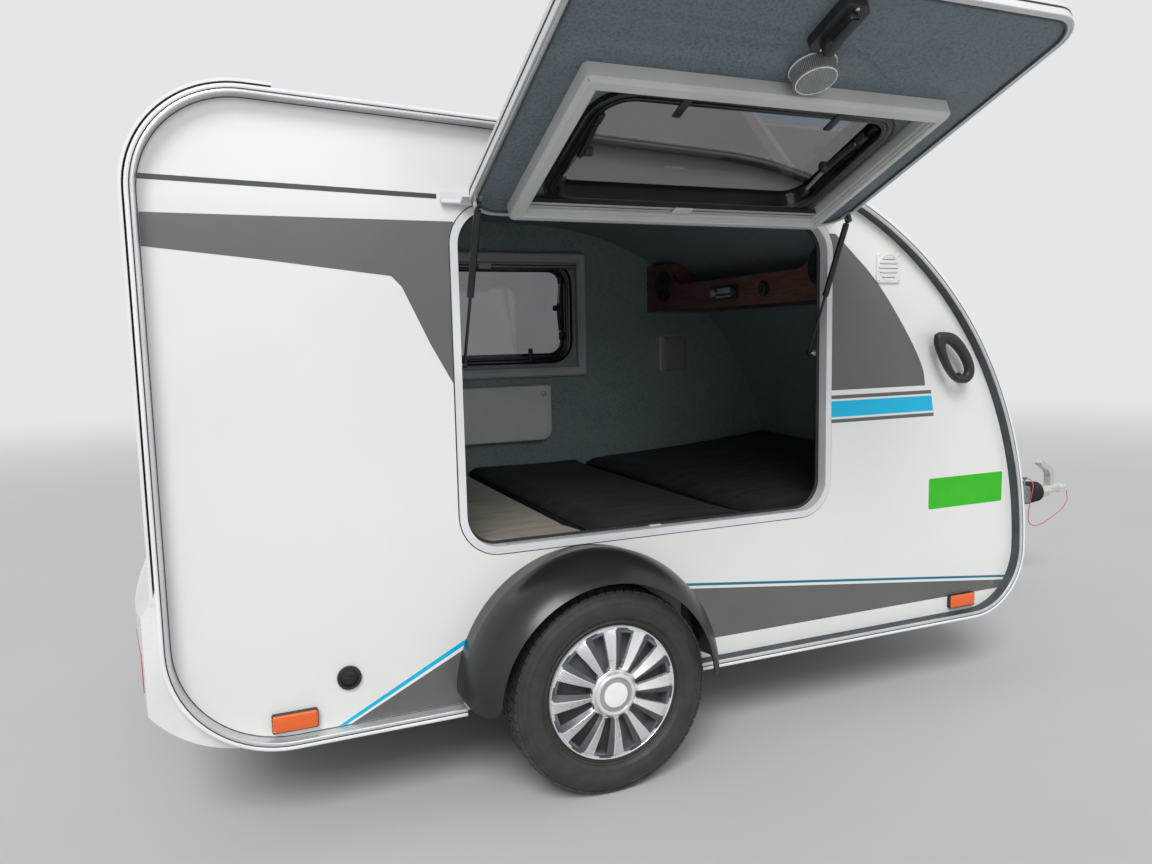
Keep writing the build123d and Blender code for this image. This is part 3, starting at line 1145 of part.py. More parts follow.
def make_side_fittings():
    face = -BODY_HALF_WIDTH
    markers = []
    for x in (REAR_MARKER_X, FRONT_MARKER_X):
        marker = block(x - MARKER_LENGTH / 2, x + MARKER_LENGTH / 2, face - MARKER_DEPTH, face,
                       MARKER_LOW_Z, MARKER_LOW_Z + MARKER_HEIGHT)
        markers.append(fillet(marker.edges().filter_by(Axis.Y), MARKER_HEIGHT / 9))
    parts["side_markers"] = Compound(markers + [mirrored(m) for m in markers])
    parts["side_vents"] = pair(side_vent(face))
    parts["loop_handles"] = pair(loop_handle(face))
    port = rod((PORT_X, face, PORT_Z), (PORT_X, face - PORT_DEPTH, PORT_Z), PORT_RADIUS)
    well_y = face - PORT_DEPTH / 4
    well = rod((PORT_X, well_y, PORT_Z), (PORT_X, face - PORT_DEPTH - OVERCUT, PORT_Z), PORT_WELL_RADIUS)
    parts["service_port"] = port - well


def side_vent(face):
    """A round-cornered cover whose level slots fill a circle."""
    half = VENT_SIZE / 2
    cover = slab(window_shape(VENT_X - half, VENT_X + half, VENT_Z - half, VENT_Z + half, VENT_SIZE / 10),
                 face - VENT_DEPTH, face)
    cover = fillet(cover.edges().group_by(Axis.Y)[0], VENT_DEPTH / 3)
    for index in range(VENT_SLOTS):
        rise = (index - (VENT_SLOTS - 1) / 2) * VENT_PITCH
        reach = sqrt(VENT_FACE_RADIUS ** 2 - rise ** 2)
        cover -= block(VENT_X - reach, VENT_X + reach, face - VENT_DEPTH - 1, face - VENT_DEPTH / 3,
                       VENT_Z + rise - VENT_SLOT_HEIGHT / 2, VENT_Z + rise + VENT_SLOT_HEIGHT / 2)
    return cover


def loop_handle(face):
    """A three-cornered loop held off the wall by a short post and foot at each corner."""
    corners = [90 + LOOP_LEAN + 120 * k for k in range(3)]

    def triangle(size, corner):
        outline = make_face(Polyline(*[on_circle((LOOP_X, LOOP_Z), size, a) for a in corners], close=True))
        return fillet(outline.vertices(), corner)

    front = face - LOOP_STAND
    loop = slab(triangle(LOOP_SIZE, LOOP_CORNER), front, front + LOOP_THICKNESS)
    loop = fillet(loop.edges().group_by(Axis.Y)[0], LOOP_THICKNESS / 3)
    loop -= slab(triangle(LOOP_HOLE, LOOP_HOLE_CORNER), front - 1, front + LOOP_THICKNESS + 1)
    rounding = LOOP_CORNER - (LOOP_SIZE - LOOP_HOLE) / 4
    for angle in corners:
        x, z = on_circle((LOOP_X, LOOP_Z), LOOP_SIZE - LOOP_CORNER - rounding / 3, angle)
        loop += rod((x, face, z), (x, front + LOOP_THICKNESS / 2, z), LOOP_POST_RADIUS)
        loop += rod((x, face, z), (x, face - LOOP_POST_RADIUS / 2, z), LOOP_FOOT_RADIUS)
    return loop


# Cabin

def make_cabin():
    inner = INNER_Y
    bulk_top = (body_outline(WALL) & box_sketch(BULKHEAD_X, BULKHEAD_X + BOARD, FLOOR_TOP_Z, FAR))
    parts["bulkhead"] = slab(bulk_top, -inner, inner)
    seams = [BULKHEAD_X + BOARD, MATTRESS_SEAM_REAR_X, MATTRESS_SEAM_FRONT_X]
    parts["mattress_rear"] = cushion(seams[0], seams[1], seams[1], 0)
    parts["mattress_middle"] = cushion(seams[1], seams[2], seams[2], 0)
    parts["mattress_front"] = cushion(seams[2], sweep_x(MATTRESS_LOW_Z, WALL),
                                      sweep_x(MATTRESS_TOP_Z + MATTRESS_NOSE_RISE, WALL), MATTRESS_NOSE_RISE)
    make_shelf(inner)
    make_galley(inner)
    locker = block(LOCKER_REAR_X, LOCKER_FRONT_X, inner - LOCKER_DEPTH, inner, LOCKER_LOW_Z, LOCKER_TOP_Z)
    low_front = locker.edges().filter_by(Axis.Y).group_by(Axis.X)[-1].sort_by(Axis.Z)[0]
    parts["wall_locker"] = fillet(low_front, LOCKER_CORNER)
    pad = window_shape(PAD_REAR_X, PAD_FRONT_X, PAD_LOW_Z, PAD_TOP_Z, PAD_CORNER)
    parts["wall_pad"] = slab(pad, inner - PAD_DEPTH, inner)


def cushion(x0, x1_low, x1_top, rise):
    """A mattress piece across the cabin; its top climbs by rise towards the nose."""
    low, top = MATTRESS_LOW_Z + SOFT_GAP, MATTRESS_TOP_Z
    side = make_face(Polyline((x0 + SOFT_GAP, low), (x1_low - SOFT_GAP, low),
                              (x1_top - SOFT_GAP, top + rise), (x0 + SOFT_GAP, top), close=True))
    solid = slab(side, -INNER_Y + MATTRESS_DOOR_GAP, INNER_Y - SOFT_GAP)
    return fillet(solid.edges(), CUSHION_ROUND)


def make_shelf(inner):
    """The overhead shelf across the nose: a low front that curves up to a raised box at each end."""
    x0 = SHELF_FACE_X
    under_roof = body_outline(WALL + SEAT_GAP)
    shelf = slab(under_roof & box_sketch(x0, FAR, SHELF_LOW_Z, SHELF_LOW_Z + BOARD), -inner, inner)
    flat, foot = inner - SHELF_END_WIDTH, inner - SHELF_END_WIDTH - SHELF_CURVE_WIDTH
    bend = (foot + SHELF_CURVE_WIDTH * sin(radians(45)),
            SHELF_END_Z - (SHELF_END_Z - SHELF_MIDDLE_Z) * sin(radians(45)))
    face = make_face([
        Polyline((-flat, SHELF_END_Z), (-inner, SHELF_END_Z), (-inner, SHELF_LOW_Z), (inner, SHELF_LOW_Z),
                 (inner, SHELF_END_Z), (flat, SHELF_END_Z)),
        ThreePointArc((flat, SHELF_END_Z), bend, (foot, SHELF_MIDDLE_Z)),
        Line((foot, SHELF_MIDDLE_Z), (-foot, SHELF_MIDDLE_Z)),
        ThreePointArc((-foot, SHELF_MIDDLE_Z), (-bend[0], bend[1]), (-flat, SHELF_END_Z))])
    shelf += cross_slab(face, x0, x0 + BOARD) & slab(under_roof, -inner, inner)
    speakers = []
    speaker_z = SHELF_LOW_Z + SPEAKER_RISE
    basket_radius = SPEAKER_RADIUS - SPEAKER_FLANGE
    deep = x0 + SPEAKER_DEPTH
    for side in (-1, 1):
        y0, y1 = sorted((side * flat, side * (flat + BOARD)))
        shelf += slab(under_roof & box_sketch(x0, FAR, SHELF_LOW_Z, SHELF_END_Z), y0, y1)
        y = side * SPEAKER_Y
        shelf -= rod((x0 - OVERCUT, y, speaker_z), (deep + OVERCUT, y, speaker_z), basket_radius + SEAT_GAP)
        flange = rod((x0 - SPEAKER_FLANGE, y, speaker_z), (x0, y, speaker_z), SPEAKER_RADIUS)
        speakers.append(flange + rod((x0, y, speaker_z), (deep, y, speaker_z), basket_radius))
    middle_z = (SHELF_LOW_Z + SHELF_MIDDLE_Z) / 2
    front = Pos(RADIO_Y, middle_z) * RectangleRounded(RADIO_WIDTH, RADIO_HEIGHT, RADIO_STAND * 0.75)
    radio = cross_slab(front, x0 - RADIO_STAND, x0)
    plate_front = (x0 - SPEAKER_FLANGE, SOCKET_PLATE_Y, middle_z)
    socket = rod(plate_front, (x0, SOCKET_PLATE_Y, middle_z), SOCKET_PLATE_RADIUS)
    parts["front_shelf"] = shelf
    parts["shelf_fittings"] = Compound(speakers + [radio, socket])


def make_galley(inner):
    """The kitchen behind the bulkhead: a worktop over an open-backed cabinet, and a high shelf."""
    rear = BODY_REAR_X + WALL + PART_GAP * 3
    front = BULKHEAD_X
    under_top = WORKTOP_Z - WORKTOP_THICKNESS
    cabinet = block(rear, front, -inner, inner, under_top, WORKTOP_Z)
    for y in (-inner, -inner / 3 - BOARD / 2, inner / 3 - BOARD / 2, inner - BOARD):
        cabinet += block(rear + BOARD, front, y, y + BOARD, FLOOR_TOP_Z, under_top)
    cabinet += block(rear + BOARD, front, -inner, inner, FLOOR_TOP_Z, FLOOR_TOP_Z + BOARD)
    shelf_rear = front - GALLEY_SHELF_DEPTH
    shelf = block(shelf_rear, front, -inner, inner, GALLEY_SHELF_Z, GALLEY_SHELF_Z + BOARD)
    lip_top = GALLEY_SHELF_Z + GALLEY_LIP
    shelf += block(shelf_rear, shelf_rear + BOARD, -inner, inner, GALLEY_SHELF_Z, lip_top)
    parts["galley_unit"] = Compound([cabinet, shelf])


def build():
    make_body()
    make_hatch()
    make_door_frame()
    make_door()
    for side, name in ((-1, "rear"), (1, "front")):
        make_strut(side, name)
    make_window("left", left_window_shape, LEFT_WINDOW_CENTRE_X, LEFT_WINDOW_CENTRE_Z, 1, as_drawn)
    for side, name in ((-1, "right"), (1, "left")):
        make_wheel(side, name)
    make_axle()
    make_fenders()
    make_chassis()
    make_coupling()
    make_cable()
    make_jockey()
    make_bumper()
    make_side_fittings()
    make_cabin()


build()
os.makedirs("parts", exist_ok=True)
for node, shape in parts.items():
    export_step(shape, "parts/" + node + ".step")
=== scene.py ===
from math import acos, atan2, cos, degrees, hypot, pi, radians, sin, sqrt

import bmesh
import bpy
from mathutils import Matrix, Vector


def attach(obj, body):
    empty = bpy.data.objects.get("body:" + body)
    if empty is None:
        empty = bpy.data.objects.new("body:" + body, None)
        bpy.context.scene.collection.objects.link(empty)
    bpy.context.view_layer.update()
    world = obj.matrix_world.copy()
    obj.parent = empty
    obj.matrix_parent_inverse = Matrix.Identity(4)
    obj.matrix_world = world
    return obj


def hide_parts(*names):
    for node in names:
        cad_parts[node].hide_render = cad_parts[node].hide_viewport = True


# Teardrop trailer in metres: +X forward to the tow ball, +Y left, +Z up, the ground at zero.
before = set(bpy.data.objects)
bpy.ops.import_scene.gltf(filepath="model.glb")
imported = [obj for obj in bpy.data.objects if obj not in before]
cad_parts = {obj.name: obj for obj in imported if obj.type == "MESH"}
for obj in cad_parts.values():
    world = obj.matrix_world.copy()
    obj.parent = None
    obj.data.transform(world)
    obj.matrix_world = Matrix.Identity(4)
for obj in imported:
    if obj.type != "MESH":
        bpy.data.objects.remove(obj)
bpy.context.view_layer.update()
scene = bpy.context.scene

# Places taken over from the part's source. OUTER and INNER are the faces of the right-hand wall.
OUTER, INNER, TRIM_FACE = -0.74, -0.71, -0.775
REAR_X, FRONT_X, LOW_Z, TOP_Z = -1.077, 1.653, 0.233, 1.797
REAR_TOP_RADIUS, REAR_LOW_RADIUS, FRONT_LOW_RADIUS, SWEEP_RADIUS = 0.242, 0.285, 0.222, 1.282
SWEEP_CENTRE = (FRONT_X - SWEEP_RADIUS, LOW_Z + FRONT_LOW_RADIUS)
REAR_TOP_CENTRE = (REAR_X + REAR_TOP_RADIUS, TOP_Z - REAR_TOP_RADIUS)
REAR_LOW_CENTRE = (REAR_X + REAR_LOW_RADIUS, LOW_Z + REAR_LOW_RADIUS)
FRONT_LOW_CENTRE = (FRONT_X - FRONT_LOW_RADIUS, LOW_Z + FRONT_LOW_RADIUS)
WHEEL_Y, WHEEL_RADIUS, WHEEL_GAP = 0.842, 0.28, (-0.362, 0.332)
HINGE = Vector((0, -0.752, 1.56))
DOOR_ANGLE = radians(-112)
# Round-cornered boxes: two places along x, two heights and the corner radius
OPENING = (-0.335, 0.818, 0.668, 1.545, 0.09)
DOOR = (-0.33, 0.813, 0.673, 1.54, 0.085)
DOOR_WINDOW = (-0.168, 0.632, 1.021, 1.461, 0.095)
LEFT_WINDOW = (-0.232, 0.568, 1.109, 1.549, 0.095)
LABEL = (1.244, 1.574, 0.621, 0.724, 0.006)
WALL_PAD = (1.0185, 1.1485, 1.0465, 1.2135, 0.0105)
BLIND_HALF_WIDTH, BLIND_HALF_HEIGHT, BLIND_DROP, BLIND_BORDER = 0.4625, 0.27, 0.012, 0.037
MATTRESS = {"rear": (-0.4446, 0.0496), "middle": (0.0504, 0.5996), "front": (0.6004, 1.606)}
MATTRESS_LOW, MATTRESS_TOP, MATTRESS_NOSE_RISE = 0.5304, 0.664, 0.075
MATTRESS_RIGHT, MATTRESS_LEFT, ROOF_CLEARANCE = -0.7068, 0.7094, 0.0306
LATCH_PLACE, LAMP_PLACE = (0.232, 0.778), (0.264, 0.902)
VENT_PLACE, PORT_PLACE = (1.053, 1.413), (-0.656, 0.378)
MARKERS = (("rear", -0.791), ("front", 1.392))
LOCKER, LOCKER_CORNER = (-0.05, 0.441, 0.772, 1.012), 0.048
SHELF_X, SPEAKER_Y, SPEAKER_Z, RADIO_Y, RADIO_Z, SOCKET_Y = 0.955, 0.545, 1.435, 0.044, 1.38, -0.22
COUPLING_Z = 0.44
CABLE_RADIUS, CABLE_LENGTH = 0.002, 0.594
CABLE_ROUTE = [
    (2.548, -0.032, 0.515), (2.548, -0.056, 0.515), (2.546, -0.072, 0.492), (2.54, -0.07, 0.452),
    (2.534, -0.066, 0.404), (2.532, -0.06, 0.354), (2.541, -0.054, 0.314), (2.57, -0.05, 0.292),
    (2.612, -0.047, 0.288), (2.66, -0.043, 0.297), (2.706, -0.041, 0.315), (2.752, -0.042, 0.336),
    (2.793, -0.041, 0.362), (2.826, -0.033, 0.392), (2.84, -0.014, 0.414), (2.84, -0.014, 0.428)]


def paint(red, green, blue):
    """A colour as it would be mixed, from screen values."""
    def straight(value):
        value = value / 255
        return value / 12.92 if value <= 0.04045 else ((value + 0.055) / 1.055) ** 2.4
    return (straight(red), straight(green), straight(blue), 1.0)


class Graph:
    """A node tree, with short calls for the nodes that the graphs here share."""

    def __init__(self, tree):
        self.tree = tree

    def add(self, kind, inputs=(), **settings):
        """The outputs of a new node; each input is a value or another node's output."""
        made = self.tree.nodes.new(kind)
        for key, value in settings.items():
            setattr(made, key, value)
        for key, value in dict(inputs).items():
            if isinstance(value, bpy.types.NodeSocket):
                self.tree.links.new(value, made.inputs[key])
            else:
                made.inputs[key].default_value = value
        return made.outputs

    def calc(self, operation, first, second=0.0, third=0.0, clamp=False):
        return self.add("ShaderNodeMath", {0: first, 1: second, 2: third}, operation=operation, use_clamp=clamp)[0]

    def vector(self, operation, first, second=(0.0, 0.0, 0.0)):
        made = self.add("ShaderNodeVectorMath", {0: first, 1: second}, operation=operation)
        return made["Value"] if operation in ("DOT_PRODUCT", "LENGTH") else made[0]

    def colour(self, share, first, second):
        return self.add("ShaderNodeMix", {0: share, 6: first, 7: second}, data_type="RGBA")[2]

    def value(self, share, first, second):
        return self.add("ShaderNodeMix", {0: share, 2: first, 3: second}, data_type="FLOAT")[0]

    def place(self):
        return self.add("ShaderNodeTexCoord")["Object"]

    def cloud(self, place, scale, detail=3.0, roughness=0.55):
        return self.add("ShaderNodeTexNoise", {"Vector": place, "Scale": scale, "Detail": detail,
                                               "Roughness": roughness})[0]

    def remap(self, value, low, high, to_low=0.0, to_high=1.0, **settings):
        return self.add("ShaderNodeMapRange", {0: value, 1: low, 2: high, 3: to_low, 4: to_high}, **settings)[0]

    def stretched(self, place, scale):
        return self.add("ShaderNodeMapping", {"Vector": place, "Scale": scale})[0]

    def group(self, group, values):
        """A shared group with its inputs set; colours are screen values."""
        made = self.tree.nodes.new("ShaderNodeGroup")
        made.node_tree = group
        for label, value in values.items():
            made.inputs[label].default_value = paint(*value) if "Colour" in label else value
        return made


def shared_group(name, inputs, fill):
    """A shader group with named inputs; fill(graph, inputs, place) returns its outputs by name."""
    tree = bpy.data.node_groups.new(name, "ShaderNodeTree")
    for label, value in inputs.items():
        kind = {3: "Vector", 4: "Color"}[len(value)] if isinstance(value, tuple) else "Float"
        socket = tree.interface.new_socket(label, in_out="INPUT", socket_type="NodeSocket" + kind)
        socket.default_value = value
    graph = Graph(tree)
    results = fill(graph, tree.nodes.new("NodeGroupInput").outputs, graph.place())
    for label in results:
        kind = "Color" if label == "Colour" else "Float"
        tree.interface.new_socket(label, in_out="OUTPUT", socket_type="NodeSocket" + kind)
    out = tree.nodes.new("NodeGroupOutput").inputs
    for label, value in results.items():
        tree.links.new(value, out[label])
    return tree


GREY = (0.5, 0.5, 0.5, 1.0)


def face(low, high, **inputs):
    """Make a shared surface of a function that returns the share of the other colour, of the higher
    roughness, and the height."""
    def make(fill):
        def surface(g, given, place):
            share, dull, height = fill(g, given, place)
            return {"Colour": g.colour(share, given["Base Colour"], given["Other Colour"]),
                    "Roughness": g.value(dull, given["Low Roughness"], given["High Roughness"]), "Height": height}
        named = {"Base Colour": GREY, "Other Colour": GREY, "Low Roughness": low, "High Roughness": high}
        named.update((label.replace("_", " "), value) for label, value in inputs.items())
        return shared_group(fill.__name__, named, surface)
    return make


@face(0.3, 0.4, Patch_Scale=3.0, Grain_Scale=400.0)
def painted_face(g, given, place):
    """Smooth paint or moulding: soft patches of tint, and a fine grain in roughness and height."""
    patches = g.remap(g.cloud(place, given["Patch Scale"], 4.0), 0.35, 0.65)
    grain = g.cloud(place, given["Grain Scale"], 2.0)
    return patches, g.calc("MULTIPLY_ADD", grain, 0.6, g.calc("MULTIPLY", patches, 0.4)), grain


@face(0.5, 0.7, Pebble_Scale=200.0)
def pebbled_face(g, given, place):
    """Board or moulding with a pressed pebble pattern, and painted shade in its hollows, patchy in strength."""
    cells = g.add("ShaderNodeTexVoronoi", {"Vector": place, "Scale": given["Pebble Scale"]}, feature="SMOOTH_F1")
    hollow = g.remap(cells["Distance"], 0.25, 0.75)
    drift = g.cloud(place, 6.0)
    share = g.calc("MULTIPLY", hollow, g.remap(drift, 0.3, 0.7, 0.55, 1.0), clamp=True)
    return share, drift, g.calc("SUBTRACT", 1.0, hollow)


@face(0.35, 0.55, Along=(6.0, 1.2, 22.0))
def timber_grain(g, given, place):
    """Timber with long figure along Y, pores and slow colour change."""
    run = g.stretched(place, given["Along"])
    bands = g.calc("FRACT", g.calc("MULTIPLY", g.cloud(run, 2.2, 6.0, 0.62), 7.0))
    bands = g.calc("PINGPONG", g.calc("MULTIPLY", bands, 2.0), 1.0)
    pores = g.cloud(g.stretched(run, (6.0, 2.0, 6.0)), 9.0)
    share = g.calc("MULTIPLY_ADD", bands, 0.55, g.calc("MULTIPLY", pores, 0.45), clamp=True)
    return share, share, g.calc("SUBTRACT", 1.0, pores)


@face(0.32, 0.58, Crystal_Scale=70.0)
def zinc_crystals(g, given, place):
    """Hot-dip zinc: patches of crystals, each a little lighter or duller than the next."""
    cells = g.add("ShaderNodeTexVoronoi", {"Vector": place, "Scale": given["Crystal Scale"]})
    tone = g.add("ShaderNodeSeparateColor", {0: cells["Color"]})[0]
    stain = g.remap(g.cloud(place, 9.0, 5.0), 0.4, 0.75, 0.0, 0.6)
    share = g.calc("MULTIPLY_ADD", tone, 0.5, stain, clamp=True)
    return share, share, tone


@face(0.95, 0.78, Streaks=(3.0, 16.0, 6.0), Pile_Scale=900.0)
def brushed_pile(g, given, place):
    """Short velvet pile, brushed in streaks that catch the light one way and then the other."""
    streaks = g.cloud(g.stretched(place, given["Streaks"]), 2.6, 7.0, 0.68)
    drift = g.calc("MULTIPLY", g.cloud(place, 4.0), 0.3)
    share = g.remap(g.calc("MULTIPLY_ADD", streaks, 0.7, drift), 0.38, 0.62)
    pile = g.cloud(place, given["Pile Scale"], 2.0)
    return share, g.remap(streaks, 0.3, 0.7), g.calc("MULTIPLY_ADD", streaks, 2.0, pile)


@face(0.3, 0.5, Direction=(1.0, 0.0, 0.0), Pitch=0.004)
def ribbed_face(g, given, place):
    """Straight ribs across one direction, as drawn or moulded into the surface, with painted shade in the grooves
    between them.
    """
    count = g.calc("DIVIDE", g.vector("DOT_PRODUCT", place, given["Direction"]), given["Pitch"])
    rib = g.remap(g.calc("PINGPONG", g.calc("FRACT", count), 0.5), 0.08, 0.3)
    return g.calc("SUBTRACT", 1.0, rib), g.cloud(place, 300.0, 2.0), rib


@face(0.2, 0.4, Pitch=0.003)
def dimple_grid(g, given, place):
    """A close grid of small dimples or prisms, seen from the side of the trailer, with painted shade in each dimple."""
    parts = g.add("ShaderNodeSeparateXYZ", {0: place})
    waves = [g.calc("SINE", g.calc("MULTIPLY", g.calc("DIVIDE", parts[axis], given["Pitch"]), 2 * pi))
             for axis in (0, 2)]
    cup = g.remap(g.calc("MULTIPLY", *waves), 0.0, 0.7)
    return cup, g.cloud(place, 60.0), g.calc("SUBTRACT", 1.0, cup)


def dust_film(g, given, place):
    """Road dust that thins out with height over the ground."""
    height = g.add("ShaderNodeSeparateXYZ", {0: place})[2]
    low = g.calc("DIVIDE", g.calc("SUBTRACT", given["Dust Top"], height), given["Dust Top"], clamp=True)
    spots = g.remap(g.cloud(place, 14.0, 6.0, 0.7), 0.3, 0.75, 0.15, 1.0)
    mask = g.calc("MULTIPLY", g.calc("MULTIPLY", low, spots), given["Amount"], clamp=True)
    return {"Colour": g.colour(mask, given["Colour"], given["Dust Colour"]), "Mask": mask}


def past_level(g, given, place):
    """1 where a point lies past a level along a direction, for walls with two faces."""
    return {"Mask": g.calc("GREATER_THAN", g.vector("DOT_PRODUCT", place, given["Direction"]), given["Level"])}


def toward_centre(g, given, place):
    """1 where a curved shell faces its own centre line, for the lining under the roof."""
    flat = g.vector("MULTIPLY", g.vector("SUBTRACT", place, given["Centre"]), (1.0, 0.0, 1.0))
    normal = g.add("ShaderNodeTexCoord")["Normal"]
    return {"Mask": g.calc("LESS_THAN", g.vector("DOT_PRODUCT", flat, normal), -0.12)}


DUST = shared_group("road_dust", {"Colour": GREY, "Dust Colour": GREY, "Dust Top": 0.6, "Amount": 0.3}, dust_film)
BEYOND = shared_group("beyond_level", {"Direction": (0.0, 1.0, 0.0), "Level": 0.0}, past_level)
FACING_IN = shared_group("facing_in", {"Centre": (0.0, 0.0, 0.0)}, toward_centre)
ROAD_DUST = (128, 122, 112)
FINISHES = {}


def finish(name, group, base, other, low=None, high=None, bump=0.2, depth=0.0005, dust=None, inside=None, **more):
    """A material whose colour, roughness and bump come from a shared group.

    dust is (top, amount) and maybe a colour; inside is (mask group, its values, the lining's values).
    The rest are inputs of the group or of the shader."""
    material = FINISHES[name] = bpy.data.materials.new(name)
    material.use_nodes = True
    g = Graph(material.node_tree)
    shader = next(n for n in g.tree.nodes if n.type == "BSDF_PRINCIPLED").inputs
    values = {"Base Colour": base, "Other Colour": other}
    if low is not None:
        values.update({"Low Roughness": low, "High Roughness": high})
    labels = [item.name for item in group.interface.items_tree]
    for key, value in more.items():
        label = key.replace("_", " ")
        if label in labels:
            values[label] = value
        else:
            shader[label].default_value = value
    made = g.group(group, values).outputs
    colour, rough, height = made["Colour"], made["Roughness"], made["Height"]
    if inside:
        mask = g.group(inside[0], inside[1]).outputs["Mask"]
        lining = g.group(pebbled_face, inside[2]).outputs
        colour = g.colour(mask, colour, lining["Colour"])
        rough = g.value(mask, rough, lining["Roughness"])
        height = g.value(mask, height, lining["Height"])
    if dust:
        top, amount, tone = (*dust, ROAD_DUST)[:3]
        film = g.group(DUST, {"Dust Colour": tone, "Dust Top": top, "Amount": amount})
        g.tree.links.new(colour, film.inputs["Colour"])
        colour = film.outputs["Colour"]
        rough = g.value(film.outputs["Mask"], rough, 0.85)
    g.tree.links.new(colour, shader["Base Color"])
    g.tree.links.new(rough, shader["Roughness"])
    relief = g.add("ShaderNodeBump", {"Strength": bump, "Distance": depth, "Height": height})[0]
    g.tree.links.new(relief, shader["Normal"])


# Lining board; its Other Colour is the painted shade in the pebble hollows
LINING = {"Base Colour": (144, 161, 166), "Other Colour": (110, 127, 134), "Pebble Scale": 190.0,
          "Low Roughness": 0.55, "High Roughness": 0.75}
# Painted shade: the door's lining is a darker copy of the wall lining, as the shade on the open door's inside
SHADED_DOOR_LINING = {**LINING, "Base Colour": (104, 118, 124), "Other Colour": (78, 91, 98)}
DOOR_INWARD = (0.0, cos(DOOR_ANGLE), sin(DOOR_ANGLE))
LINED_FROM = 0.7385
DOOR_LEVEL = HINGE.y * DOOR_INWARD[1] + HINGE.z * DOOR_INWARD[2] - LINED_FROM - HINGE.y

for name, group, values, lining, more in (
        ("panel_right", BEYOND, {"Direction": (0, 1, 0), "Level": -LINED_FROM}, LINING, {"dust": (0.5, 0.16)}),
        ("panel_left", BEYOND, {"Direction": (0, -1, 0), "Level": -LINED_FROM}, LINING, {"dust": (0.5, 0.16)}),
        ("roof_skin", FACING_IN, {"Centre": (0.1, 0.0, 0.8)}, LINING, {}),
        ("door_skin", BEYOND, {"Direction": DOOR_INWARD, "Level": DOOR_LEVEL}, SHADED_DOOR_LINING, {}),
        ("hatch_skin", FACING_IN, {"Centre": (-0.3, 0.0, 1.0)}, LINING, {})):
    finish(name, painted_face, (232, 233, 230), (226, 228, 226), 0.16, 0.26, bump=0.12, Patch_Scale=1.5,
           Grain_Scale=260.0, Coat_Weight=0.25, inside=(group, values, lining), **more)

